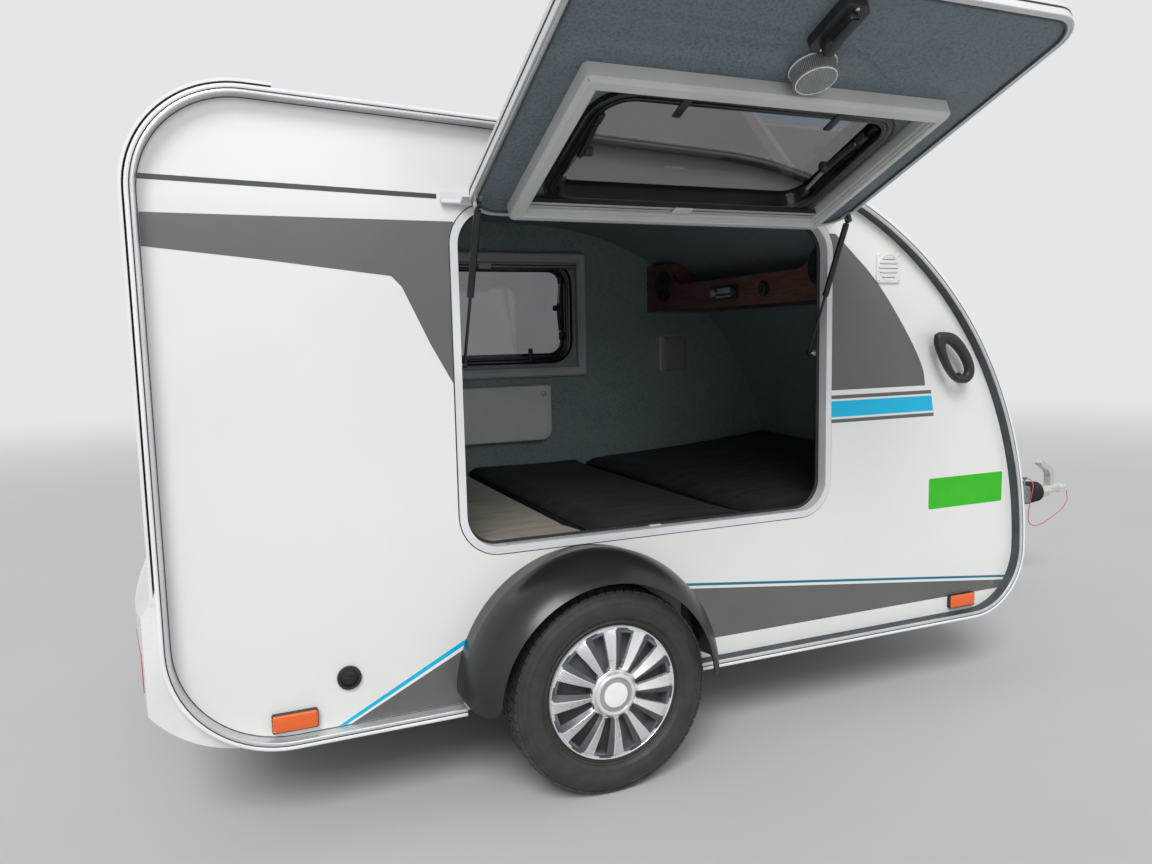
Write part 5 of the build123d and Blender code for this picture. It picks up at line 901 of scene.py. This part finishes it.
def make_films():
    """The band and the stripes go on the right-hand wall, the open door and, whole, the left-hand wall."""
    for name, outline, material in (
            ("film_band", BAND_REAR + smooth_corner(BAND_FRONT)[::-1], "film_grey"),
            ("film_cyan", strip(1.246, 0.952, 1.002, 0.009), "film_cyan"),
            ("film_upper_line", strip(1.243, 1.0085, 1.02, 0.002), "film_grey"),
            ("film_lower_line", strip(1.256, 0.934, 0.945, 0.002), "film_grey")):
        for part, low, high in (("_rear", -1.2, OPENING[0] - DOORWAY_GAP), ("_front", OPENING[1] + DOORWAY_GAP, 1.8)):
            piece = between(outline, low, high)
            if len(piece) > 2:
                ride(put_film(name + part + "_right", piece, material), "body", "white_panel")
        if name == "film_band":
            on_door = clipped(outline, round_box(DOOR, -0.018))
            ride_door(flat_sheet(name + "_door", [on_door, round_box(DOOR_WINDOW, 0.004)], material), "white_panel")
            left = put_film(name + "_left", outline, material, round_box(LEFT_WINDOW, 0.004))
        else:
            for part, low, high in (("_rear", DOOR[0] + DOOR_BORDER, DOOR_WINDOW[0] - PANE_BORDER),
                                    ("_front", DOOR_WINDOW[1] + PANE_BORDER, DOOR[1] - DOOR_BORDER)):
                piece = between(outline, low, high)
                ride_door(flat_sheet(name + "_door" + part, [piece], material), "white_panel")
            left = put_film(name + "_left", outline, material)
        ride(moved(left, MIRROR), "body", "white_panel")
    for name, outline, material in LOW_FILMS:
        ride_pair(put_film(name + "_right", outline, material), "white_panel")
    ride_pair(flat_sheet("blank_label_right", [round_box(LABEL)], "film_green", 0.0006), "white_panel")


# Windows: blind cassettes, stays and catches, drawn on the closed door's place
def make_blind(name, shape):
    """A moulded cassette: a bevelled frame, a stepped groove inside it and its two pull bars."""
    cx, cz = (shape[0] + shape[1]) / 2, (shape[2] + shape[3]) / 2 - BLIND_DROP
    x0, x1 = cx - BLIND_HALF_WIDTH, cx + BLIND_HALF_WIDTH
    z0, z1 = cz - BLIND_HALF_HEIGHT, cz + BLIND_HALF_HEIGHT
    pieces = [box_rings("cassette", (x0, x1, z0, z1, 0.012), near(
        INNER, (0, 0.6), (0, 32), (-2.2, 36.2), (-8, 41.5), (-24, 44.6), (-27, 44.6), (-29, 42), (-29.2, 38),
        (-33.5, 37.6), (-34.2, 34), (-34.4, 29), (-38.5, 28.6), (-39, 26), (-39, 6), (-37.5, 0.6)),
        "blind_ivory", 4, smooth_angle=24)]
    for sx, x in ((-1, x0), (1, x1)):
        for sz, z in ((-1, z0), (1, z1)):
            ends = beside((x, INNER, z), (-3.2 * sx, 38.5, -3.2 * sz), (-26.8 * sx, 44.6, -26.8 * sz))
            pieces.append(tube("mitre", *ends, 0.0005, "inner_rubber", 8))
    top = z1 - BLIND_BORDER - 0.003
    for drop, height in ((0.0, 0.0115), (0.015, 0.01)):
        low = top - drop - height
        pieces.append(block("pull_bar", (x0 + 0.037, INNER + 0.013, low), (x1 - 0.037, INNER + 0.0255, top - drop),
                            "blind_bar", 0.0025))
        pieces.append(block("slot_line", (x0 + 0.038, INNER + 0.012, low - 0.0016), (x1 - 0.038, INNER + 0.024, low),
                            "edge_rubber"))
    pieces.append(block_at("pull_tab", (cx, INNER, top), (-28, 24, -30), (28, 30, -4), "blind_ivory", 0.003))
    return joined(name, pieces)


def make_stay(x, z_low, z_high, toward):
    """A folding window stay: a black tube with a silver rod in it, a knob, and a bracket at each end."""
    y, steps = INNER - 0.01, 12
    run = z_high - z_low - 0.04
    bow = [(x + toward * 0.01 * sin(pi * k / steps), y, z_low + 0.02 + run * k / steps) for k in range(steps + 1)]
    middle = (x, y, (z_low + z_high) / 2)
    pieces = [swept("arm", bow, 0.0046, SILVER, 12), swept("sleeve", bow[1:8], 0.0078, BLACK, 14),
              tube("knob", *beside(middle, (12 * toward, 0, 0), (34 * toward, 0, 0)), 0.0125, BLACK, 20,
                   0.003)]
    return pieces + [block_at("foot", (x, y, z), (-9, -9, 0), (9, 9, 34), BLACK, 0.003)
                     for z in (z_low, z_high - 0.034)]


def make_catch(x, z):
    """A turning catch: a round boss with a flat lever."""
    place = (x, INNER + 0.004, z)
    return [tube("boss", *beside(place, (0, -16, 0), (0, 9, 0)), 0.0125, BLACK, 20, 0.003),
            block_at("lever", place, (-10.5, 6, -10), (10.5, 13.5, 52), BLACK, 0.004)]


def make_bezel(name, shape):
    """The soft black bezel over the window frame's inner edge, and the dark border of the pane."""
    skin = box_rings("bezel", shape, near(
        INNER, (3.4, 0.2), (3.6, 10.6), (1.4, 13.6), (-7, 14.4), (-15, 13.6), (-16.5, 12.8), (-18, 13.6), (-24, 13),
        (-28.4, 10), (-29.2, 4), (-29, -33.6), (-28.1, -33.6), (-28.1, 6), (-27, 12.1), (2.8, 12.1), (3.1, 0.2)),
        "window_black", smooth_angle=50)
    border = box_rings("pane_border", shape, near(
        OUTER, (-27.5, -3.7), (-27.5, -4.1), (-40, -4.1), (-41, -3.9), (-40, -3.7)), "window_black")
    return joined(name, [skin, border])


def make_window_parts():
    """Both windows are drawn on the right: one turns with the door, the other is mirrored to the left."""
    for name, shape in (("door", DOOR_WINDOW), ("left", LEFT_WINDOW)):
        x0, x1, z0, z1, _ = shape
        pieces = (make_stay(x0 + 0.044, z0 + 0.1, z1 - 0.06, 1) + make_stay(x1 - 0.044, z0 + 0.1, z1 - 0.06, -1)
                  + make_catch(x0 + 0.2, z0 + 0.012) + make_catch(x1 - 0.2, z0 + 0.012))
        for piece, slot, *node in ((joined(name + "_window_fittings", pieces), "black_plastic"),
                                   (make_blind(name + "_blind", shape), "blind_frame", name + "_blind_frame"),
                                   (make_bezel(name + "_window_bezel", shape), "black_plastic")):
            if name == "door":
                ride_door(piece, slot, *node)
            else:
                ride(moved(piece, MIRROR), "body", slot, *node)


# Door edge, seals, lamp and latch
def make_door_parts():
    """Rings round the door's edge and round its opening."""
    for name, shape, material, slot, section in (
            ("door_seal", DOOR, "inner_rubber", "rubber_black", near(
                INNER, (-14.8, 0), (-14.6, 3.4), (-16.4, 5), (-18.4, 5), (-19.8, 3.4), (-20, 0))),
            ("door_edge_rail", DOOR, "trim_alloy", "aluminium", near(
                INNER, (-0.2, 1.6), (-0.6, 3.6), (-5, 4.2), (-6.2, 3), (-6.8, 3), (-8, 4.2), (-13, 3.8), (-14.4, 1.8))),
            ("door_edge_insert", DOOR, "edge_rubber", "rubber_black", near(
                OUTER, (-0.4, 10), (1, 11), (1, 15), (-0.4, 16))),
            ("opening_seal", OPENING, "edge_rubber", "rubber_black", near(
                INNER, (0.5, 3), (-4.5, 3.5), (-7.2, 6.5), (-7.2, 10.5), (-4.5, 13.5), (6, 13.5), (6, 3))),
            ("frame_sealant", OPENING, "edge_rubber", "rubber_black", near(
                OUTER, (19.8, -0.1), (19.8, -1.6), (22.2, -1), (23, -0.1)))):
        ring = box_rings(name, shape, section, material)
        if shape is DOOR:
            ride_door(ring, slot)
        else:
            ride(ring, "body", slot)


def make_lamp():
    """The round cabin lamp: a ribbed drum, and a lens with crossing prisms in a bright rim."""
    centre = (LAMP_PLACE[0], INNER, LAMP_PLACE[1])
    # The drum is painted darker than its ribs and prisms, as shade between them
    drum = lathe("lamp_drum", near(0, (1, 0.5), (50, 0.5), (50, 5), (47, 7), (44, 34), (42.5, 36.6), (1, 37.2)),
                 "frosted_rib", steps=72, centre=centre)
    rib = block_at("rib_blank", (0, 0, 0), (44.8, 6.4, -0.7), (47.4, 34.5, 0.7), None)
    pieces = [drum, repeated("lamp_ribs", AROUND, "frosted_lens", rib, Count=72, Centre=centre)]
    pieces += [lathe("lamp_rim", near(out, (r - 1, 0), (r + 0.4, 2.2), (r + 1.6, 2.2), (r + 2.4, 0)), "cap_white",
                     steps=72, centre=centre, closed_section=True) for r, out in ((49, 0.0048), (41.8, 0.0362))]
    for k in range(-7, 8):
        offset = k * 0.0056
        reach = sqrt(0.0412 ** 2 - offset ** 2)
        for slope in (45, -45):
            prism = block("prism", (-reach, 0.0366, offset - 0.0011), (reach, 0.0384, offset + 0.0011), "frosted_lens")
            pieces.append(moved(prism, Matrix.Translation(centre) @ Matrix.Rotation(radians(slope), 4, "Y")))
    ride_door(joined("door_lamp_lens", pieces), "frosted_lens", "door_lamp")


def make_latch_parts():
    """The latch: a lever and its boss inside, a lever and the lock outside."""
    x, z = LATCH_PLACE
    inside, outside = (x, INNER, z), (x, OUTER, z)
    lever = new_shape("latch_lever", beside(
        inside, (-11, 34, -45), (-14, 34, 50), (14, 34, 50), (11, 34, -45), (-8, 40, -50), (-10, 46, 46),
        (10, 46, 46), (8, 40, -50)), PRISM_FACES, BLACK)
    boss = tube("latch_boss", *beside(inside, (0, 18, 26), (0, 40, 26)), 0.018, BLACK, 24, 0.003)
    screws = repeated("latch_screws", IN_A_ROW, "bright_zinc", screw_head(0.0042, 0.0022), Count=2,
                      Start=(x, -INNER - 0.02, z - 0.056), Step=(0.0, 0.0, 0.112))
    outer = block_at("latch_outer_lever", outside, (-46, -16.5, -13), (50, -8.8, 11), BLACK, 0.003)
    barrel = tube("lock_barrel", *beside(outside, (34, -16, -1), (34, -18.5, -1)), 0.0085, "bright_zinc", 24, 0.0008)
    pieces = [rounded(lever, 0.003), boss, moved(screws, MIRROR), outer, barrel]
    ride_door(joined("door_latch_parts", pieces), "black_plastic")


# Sill, vents, markers and the other small outside fittings
def make_sill():
    """The ribbed threshold plate and the striker that the latch meets."""
    x0, x1, z = OPENING[0] + 0.11, OPENING[1] - 0.11, OPENING[2]
    plate = block("sill_plate", (x0, OUTER - 0.0015, z + 0.0001), (x1, INNER - 0.0005, z + 0.0012), "drawn_alloy",
                  0.0004)
    rib = block("rib_blank", (x0, -0.0008, 0.0), (x1, 0.0008, 0.0013), None)
    ribs = repeated("sill_ribs", IN_A_ROW, "trim_alloy", rib, Count=7, Start=(0, OUTER + 0.0035, z + 0.001),
                    Step=(0, 0.0036, 0))
    ride(joined("sill_threshold", [plate, ribs]), "body", "aluminium")
    place = (LATCH_PLACE[0], INNER, z)
    base = block_at("striker_base", place, (-18, -12, 0.8), (18, 1.5, 4.2), "fitting_white", 0.0012)
    hook = block_at("striker_hook", place, (-8, -8, 3.5), (8, 1, 4.6), "bright_zinc", 0.0005)
    ride(joined("door_striker", [base, hook]), "body", "white_plastic")


def make_markers():
    """Amber lenses with a bar across, front and rear, on both sides."""
    section = near(OUTER, (1.2, -6), (1.2, -12.5), (-0.6, -15.5), (-4, -17), (-12, -17.5))
    for end, x in MARKERS:
        name = "marker_lens_" + end + "_right"
        lens = box_rings(name, (x - 0.0535, x + 0.0535, 0.2715, 0.3145, 0.006), section, "amber_lens", 5,
                         closed_section=False, capped=True)
        bar = block_at("bar", (x, OUTER, 0.293), (-53, -18.2, -1.5), (53, -17, 1.5), "amber_lens")
        ride_pair(joined(name, [lens, bar]), "amber_lens")


def make_small_fittings():
    """The round side vents with their screws and hoods, and the service port's cap."""
    x, z = VENT_PLACE
    y = OUTER - 0.007
    pieces = [repeated("vent_screws", IN_A_ROW, "bright_zinc", screw_head(0.0034, 0.0016), Count=2,
                       Start=(x - 0.0385, y, z + rise), Step=(0.077, 0.0, 0.0)) for rise in (-0.0385, 0.0385)]
    pieces.append(lathe("vent_ring", near(y, (38.5, -0.2), (39.5, -1.6), (41.2, -1.6), (42.2, -0.2)),
                        "fitting_white", steps=64, centre=(x, 0.0, z), closed_section=True))
    for rise in (-28, -14, 0, 14, 28):
        place, reach = (x, y, z + rise / 1000), sqrt(38 ** 2 - rise ** 2) - 0.4
        pieces.append(block_at("vent_dark", place, (-reach, 3, -2.8), (reach, 4.6, 2.8), "edge_rubber"))
        hood = beside(place, *[(end * reach * 0.96, out, up) for end in (-1, 1)
                               for out, up in ((1, 2.6), (-3, -0.6), (-2.6, -1.6), (3, 1.6))])
        pieces.append(new_shape("vent_hood", hood, PRISM_FACES, "fitting_white"))
    ride_pair(joined("vent_parts_right", pieces), "white_plastic")
    x, z = PORT_PLACE
    cap = lathe("port_cap", near(0, (1, -1.2), (20, -1.2), (21.6, -0.4), (21.6, 4), (1, 4)), BLACK,
                steps=48, centre=(x, OUTER - 0.002, z))
    grip = block_at("port_grip", (x, OUTER, z), (-14, -6.8, -2.5), (14, -2.8, 2.5), BLACK, 0.0012)
    ride(joined("port_cover", [cap, grip]), "body", "black_plastic")


GRIP_OUTSIDE = [(1.241, 1.21), (1.293, 1.203), (1.333, 1.17), (1.364, 1.13), (1.381, 1.09), (1.376, 1.056),
                (1.348, 1.038), (1.308, 1.043), (1.27, 1.076), (1.24, 1.12), (1.215, 1.168), (1.216, 1.2)]
GRIP_INSIDE = [(1.258, 1.172), (1.28, 1.168), (1.309, 1.145), (1.334, 1.116), (1.35, 1.086), (1.344, 1.069),
               (1.326, 1.063), (1.306, 1.066), (1.284, 1.09), (1.265, 1.122), (1.253, 1.152), (1.252, 1.168)]
GRIP_POSTS = ((1.287, 1.186), (1.36, 1.056))


def make_grips():
    """The egg-shaped manoeuvring loops at the front, each on two short posts."""
    def closed(points):
        middle = ((points[0][0] + points[-1][0]) / 2, (points[0][1] + points[-1][1]) / 2)
        return smooth_corner([middle] + points + [middle], 3)[:-1]

    outside, inside = closed(GRIP_OUTSIDE), closed(GRIP_INSIDE)
    rings = []
    for share, out in ((0, 36), (0, 50), (0.12, 54.8), (0.34, 57), (0.66, 57), (0.88, 54.8), (1, 50), (1, 36),
                       (0.86, 32.5), (0.14, 32.5)):
        line = [(a[0] + (b[0] - a[0]) * share, a[1] + (b[1] - a[1]) * share) for a, b in zip(inside, outside)]
        rings.append(at_y(line, OUTER + (1 - out) / 1000))
    pieces = [loft("grip", rings, BLACK, closed_section=True, smooth_angle=50)]
    for x, z in GRIP_POSTS:
        pieces.append(tube("grip_post", (x, OUTER, z), (x, OUTER - 0.034, z), 0.0105, BLACK, 24))
        pieces.append(lathe("grip_foot", near(0, (1, -5), (14, -5), (16.5, -3), (17, 0), (1, 0)), BLACK,
                            steps=36, centre=(x, OUTER, z)))
    right = joined("loop_grips", pieces)
    left = moved(put("loop_grips_left", right.data.copy()), MIRROR)
    ride(joined("loop_grips", [right, left]), "body", "black_plastic", "loop_handles")


# Road wheels. The tyre's half section runs from the bead to the crown: millimetres over the bead, and
# shares of the half width. A tread row is its place, half width, count of blocks and half gap.
TYRE_HALF_WIDTH, BEAD_RADIUS = 0.08, 0.1705
TYRE_WALL = ((0, 0.6), (6, 0.665), (10, 0.7), (13, 0.765), (18, 0.8), (20, 0.885), (23.5, 0.905), (26, 0.885),
             (36, 0.955), (36.5, 0.968), (39.5, 0.975), (40, 0.968), (50, 0.992), (60, 0.992), (70.5, 0.965),
             (71, 0.978), (74, 0.968), (74.5, 0.952), (86, 0.895), (86.5, 0.905), (89, 0.892), (89.5, 0.878),
             (94.5, 0.845), (100, 0.8), (101, 0.7), (101.5, 0.4), (101.5, 0.0))
TREAD_ROWS = ((-0.053, 0.0135, 66, 0.0014), (-0.029, 0.0082, 66, 0.0011), (0.0, 0.0088, 60, 0.001),
              (0.029, 0.0082, 66, 0.0011), (0.053, 0.0135, 66, 0.0014))


def make_tyre(hand, side):
    """A tyre with the lines of its side wall and five rows of tread blocks."""
    outer = WHEEL_RADIUS
    wall = [(BEAD_RADIUS + rise / 1000, TYRE_HALF_WIDTH * share) for rise, share in TYRE_WALL]
    profile = [(r, -y) for r, y in wall] + [(r, y) for r, y in reversed(wall[:-1])]
    centre = (0, side * WHEEL_Y, outer)
    pieces = [lathe("carcass", profile, "tyre_side", steps=144, centre=centre, closed_section=True)]
    for k, (y, half_row, count, slit) in enumerate(TREAD_ROWS):
        chord = pi * (outer - 0.001) / count - slit
        skew = 0.0035 * (1 if k % 2 else -1)
        drop = 0.0045 if abs(y) > 0.05 else 0.0
        outward = 1 if y > 0 else -1
        corners = []
        for r_out, r_in, shrink in ((outer - 0.0105, outer - 0.0095, 0.0),
                                    (outer - 0.0004 - drop, outer - 0.0001, 0.0007)):
            for end in (-1, 1):
                for way, r in ((1, r_out), (-1, r_in)):
                    corners.append((end * (chord - shrink) + way * skew, y + outward * way * (half_row - shrink), r))
        lug = new_shape("lug_blank", corners, BOX_FACES)
        pieces.append(repeated("tread_row", AROUND, "tyre_tread", lug, Count=count, Centre=centre,
                               Start_Angle=0.05 * k))
    ride(joined("tyre_" + hand + "_tread", pieces), "wheel_" + hand, "tyre_rubber", "tyre_" + hand)


SPOKE_STATIONS = (0.056, 0.065, 0.0675, 0.07, 0.082, 0.1, 0.12, 0.14, 0.158, 0.1715, 0.1738, 0.177)
COVER_FRONT, COVER_SEAT = 0.076, 0.0593


def spoke_half_width(r):
    """Half a spoke's width at a radius: the whole sector at hub and rim, narrower between them."""
    sector = pi * r / 12
    if r <= 0.065 or r >= 0.1738:
        return sector
    if r <= 0.07:
        share = (r - 0.065) / 0.005
        return sector * (1 - share) + 0.0106 * share
    if r >= 0.1715:
        share = (r - 0.1715) / 0.0023
        return 0.0262 * (1 - share) + sector * share
    return 0.0106 + (0.0262 - 0.0106) * (r - 0.07) / 0.1015


def spoke_strip(left, right):
    """A strip of a spoke between two shares of its width, with its crown at the ridge."""
    ridge, depth = 0.16, 0.012
    spread = (left, (left + right) / 2, right)
    rings = []
    for r in SPOKE_STATIONS:
        half = spoke_half_width(r)
        dish = COVER_FRONT - 0.0075 + 0.004 * (1 - abs(r - 0.11) / 0.06)
        lift = 0.0012 if r < 0.066 or r > 0.172 else 0.008 - 0.0048 * max(0.0, r - 0.155) / 0.0165
        ring = [(half * share, dish + lift * (1 - abs(share - ridge) / (1 + ridge if share < ridge else 1 - ridge)))
                for share in spread] + [(half * share, dish - depth) for share in reversed(spread)]
        rings.append([(r * sin(across / r), out, r * cos(across / r)) for across, out in ring])
    return loft("spoke_blank", rings, None, capped=True, smooth_angle=12)


def make_cover(hand, side):
    """The wheel cover: twelve two-sided spokes, a thin rim ring and a hub with a plain white cap."""
    # Each spoke: a dimpled facet, a smooth facet painted dark as shade, and a silver ridge between them
    pieces = [repeated("facets", AROUND, material, spoke_strip(left, right), Count=12, Centre=(0, 0, 0))
              for material, left, right in (("cover_dimpled_facet", -1.0, 0.1), ("cover_smooth_facet", 0.24, 1.0),
                                            ("cover_silver", 0.08, 0.26))]
    rim = near(COVER_FRONT, (176.2, -11), (176.8, -7.6), (178.2, -6.2), (180, -6.6), (181.5, -8.6), (182.2, -12))
    rim += near(COVER_SEAT, (182.4, 2), (179, 0), (177, 0.5), (176.2, 4))
    pieces.append(lathe("rim_ring", rim, "cover_silver", steps=144, closed_section=True))
    for name, material, closed, profile in (
            ("hub", "cover_silver", True, (
                (12, -10), (64, -10), (64, -3.4), (59, 0.6), (57.5, 4.6), (54.5, 8), (50.5, 9.2), (47, 8),
                (45.5, 3.6), (12, 3.4))),
            ("hub_well", SILVER, True, (
                (46, 4), (45.2, 5.2), (40, 4.8), (37.5, 6), (35, 6.6), (34.2, 4))),
            ("hub_cap", "cap_white", False, (
                (0.3, 8.2), (18, 8), (29, 7.4), (33.8, 6.2), (34.3, 3.4), (0.3, 3.4)))):
        pieces.append(lathe(name, near(COVER_FRONT, *profile), material, closed_section=closed))
    place = Matrix.Translation((0, side * WHEEL_Y, WHEEL_RADIUS))
    cover = moved(joined("wheel_cover_" + hand + "_face", pieces), place if side > 0 else place @ MIRROR)
    ride(cover, "wheel_" + hand, "wheel_silver", "wheel_cover_" + hand)


def make_wheels():
    for side, hand in ((-1, "right"), (1, "left")):
        make_tyre(hand, side)
        make_cover(hand, side)


# Cabin: cushions by cloth simulation, shelf fittings and wall pieces
def stuff(shape, low, high, reach=0.014, frames=20):
    """Remesh, blow up as cloth and hold inside its space."""
    modified(shape, "REMESH", mode="VOXEL", voxel_size=0.0125)
    before = [v.co.copy() for v in shape.data.vertices]
    cloth = shape.modifiers.new("Cloth", "CLOTH")
    for key, value in (("use_pressure", True), ("uniform_pressure_force", 4.0), ("quality", 4),
                       ("shrink_min", -0.035), ("tension_stiffness", 20), ("bending_stiffness", 0.4)):
        setattr(cloth.settings, key, value)
    cloth.settings.effector_weights.gravity = 0.0
    cloth.collision_settings.use_collision = False
    cloth.point_cache.frame_start = 1
    cloth.point_cache.frame_end = frames
    for number in range(1, frames + 1):
        scene.frame_set(number)
    take_result(shape)
    scene.frame_set(1)
    for vertex, old in zip(shape.data.vertices, before):
        step = vertex.co - old
        if step.length > reach:
            vertex.co = old + step * (reach / step.length)
        for axis in range(3):
            vertex.co[axis] = min(max(vertex.co[axis], low[axis]), high[axis])


def lean_on_nose(shape, x0, x1):
    """Raise the front cushion toward the nose and keep it behind the roof's inside."""
    for vertex in shape.data.vertices:
        height = max(0.0, (vertex.co.z - MATTRESS_LOW) / (MATTRESS_TOP - MATTRESS_LOW))
        vertex.co.z += MATTRESS_NOSE_RISE * height * (vertex.co.x - x0) / (x1 - x0)
        rise = vertex.co.z - SWEEP_CENTRE[1]
        limit = SWEEP_CENTRE[0] + sqrt((SWEEP_RADIUS - ROOF_CLEARANCE) ** 2 - rise ** 2)
        vertex.co.x = min(vertex.co.x, limit)


def piping_route(shape, x0, x1, y0, y1, slope):
    """Points every 20 mm round a cushion's upper edge, pressed onto its surface."""
    outline = round_box((x0 + 0.004, x1 - 0.004, y0 + 0.004, y1 - 0.004, 0.03), 0.0, 6)
    route = []
    for p, q in zip(outline, outline[1:] + outline[:1]):
        parts = max(1, round(hypot(q[0] - p[0], q[1] - p[1]) / 0.02))
        for j in range(parts):
            x, y = p[0] + (q[0] - p[0]) * j / parts, p[1] + (q[1] - p[1]) * j / parts
            point = Vector((x, y, MATTRESS_TOP - 0.01 + slope * (x - x0)))
            found, place, normal, _ = shape.closest_point_on_mesh(point)
            route.append(place + normal * 0.0008 if found else point)
    return route


def make_cushions():
    """Three cushions side by side, each with piping round its upper edge."""
    y0, y1 = MATTRESS_RIGHT, MATTRESS_LEFT
    for name, (x0, x1) in MATTRESS.items():
        material, slot, piping, slope = "cushion_anthracite", "anthracite_fabric", "cushion_piping", 0.0
        if name == "rear":
            material, slot, piping = "cushion_taupe", "taupe_fabric", "cushion_taupe"
        low, high, inset = Vector((x0, y0, MATTRESS_LOW)), Vector((x1, y1, MATTRESS_TOP)), Vector((0.006,) * 3)
        shape = block("cushion_" + name, low + inset, high - inset, None, 0.016)
        stuff(shape, (x0, y0, MATTRESS_LOW), (x1, y1, MATTRESS_TOP + 0.006))
        if name == "front":
            lean_on_nose(shape, x0, x1)
            slope = MATTRESS_NOSE_RISE / (x1 - x0)
        settle(shape, material, smooth_angle=80, merge=False)
        edge = swept("piping_" + name, piping_route(shape, x0, x1, y0, y1, slope), 0.0026, piping, 8, closed=True)
        modified(shape, "SUBSURF", levels=1, render_levels=1)
        whole = joined("cushion_" + name, [shape, edge])
        ride(whole, "body", slot, "mattress_" + name)


def make_shelf_parts():
    """Two speakers, the radio and a socket, which look rearward from the shelf."""
    pieces = []
    for y in (-SPEAKER_Y, SPEAKER_Y):
        cone = near(0, (1, -2), (15, -3), (18, 1), (46, -4), (52, -7.5), (56, -6), (58, -7), (65.5, -8.5),
                    (66.5, -6), (66.5, -3), (1, -3))
        pieces.append(lathe("speaker_cone", cone, BLACK, axis="X", steps=60,
                            centre=(SHELF_X, y, SPEAKER_Z)))
        bar = block_at("bar_blank", (0, 0, 0), (-1.2, -1.2, 18), (0, 1.2, 60), None)
        bars = repeated("speaker_bars", AROUND, BLACK, bar, Count=24, Centre=(0, 0, 0))
        pieces.append(moved(bars, Matrix.Translation((SHELF_X - 0.0088, y, SPEAKER_Z))
                            @ Matrix.Rotation(radians(90), 4, "Z")))
    radio = (SHELF_X - 0.008, RADIO_Y, RADIO_Z)
    key = block_at("key_blank", (0, 0, 0), (-2, -6.8, -4), (0, 6.8, 4), None, 0.0008)
    first, knob = beside(radio, (-1.6, -44, -15.5), (0, 71, 0))
    pieces += [
        block_at("radio_face", radio, (-2, -90.5, -26.5), (0.5, 90.5, 26.5), "radio_face", 0.0008),
        block_at("radio_window", radio, (-3.2, -50, -4), (-1.8, 45, 18), SILVER, 0.0006),
        repeated("radio_keys", IN_A_ROW, SILVER, key, Count=6, Start=first, Step=(0.0, 0.018, 0.0)),
        lathe("radio_knob", near(0, (1, -13), (12, -12.5), (14, -11), (15, 0), (1, 0)), SILVER, axis="X",
              steps=36, centre=knob),
        lathe("socket_ring", near(0, (13, -0.5), (13, -2.2), (23.5, -3), (27, -1), (27, 0.5)), "window_black",
              axis="X", steps=40, centre=(SHELF_X - 0.006, SOCKET_Y, RADIO_Z), closed_section=True)]
    ride(joined("shelf_parts", pieces), "body", "black_plastic")


def make_wall_parts():
    """The front of the locker with its knob, and the pad, both on the left wall."""
    x0, x1, z0, z1 = LOCKER
    y = -INNER - 0.062

    def lid_line(inset):
        low_front = arc_points((x1 - LOCKER_CORNER, z0 + LOCKER_CORNER), LOCKER_CORNER - inset, 270, 90, 10)
        return low_front + [(x1 - inset, z1 - inset), (x0 + inset, z1 - inset), (x0 + inset, z0 + inset)]

    rings = [at_y(lid_line(inset), level) for inset, level in
             near(y, (1.5, 0.5), (2, -3.4), (3.4, -5), (7, -5.6), (30, -5.8))]
    lid = loft("locker_lid", rings, "locker_ivory", capped=True)
    knob = lathe("locker_knob", near(0, (1, -8.5), (9.5, -8), (11, -6), (11.5, 0.5), (1, 0.5)), SILVER,
                 steps=30, centre=(x1 - 0.036, y - 0.0052, z1 - 0.036))
    ride(joined("locker_front", [lid, knob]), "body", "white_plastic")
    section = near(-INNER - 0.022, (0, 0.5), (-1.5, -3.5), (-6, -6), (-25, -8), (-50, -8.6))
    pad = box_rings("wall_pad_front", WALL_PAD, section, "wall_pad_grey", closed_section=False, capped=True)
    ride(pad, "body", "white_plastic")


def make_hitch_parts():
    """Two rows of bolts on each side of the overrun housing."""
    rows = [repeated("housing_bolts", IN_A_ROW, "bright_zinc", screw_head(0.0085, 0.0062), Count=3,
                     Start=(2.26, -0.0432, COUPLING_Z + rise), Step=(0.045, 0.0, 0.0)) for rise in (-0.02, 0.018)]
    ride_pair(joined("housing_bolts_right", rows), "galvanised_steel")


make_camera()
make_cable()
make_studio()
dress_nodes()
make_trims()
make_films()
make_window_parts()
make_door_parts()
make_lamp()
make_latch_parts()
make_sill()
make_markers()
make_small_fittings()
make_grips()
make_wheels()
make_cushions()
make_shelf_parts()
make_wall_parts()
make_hitch_parts()
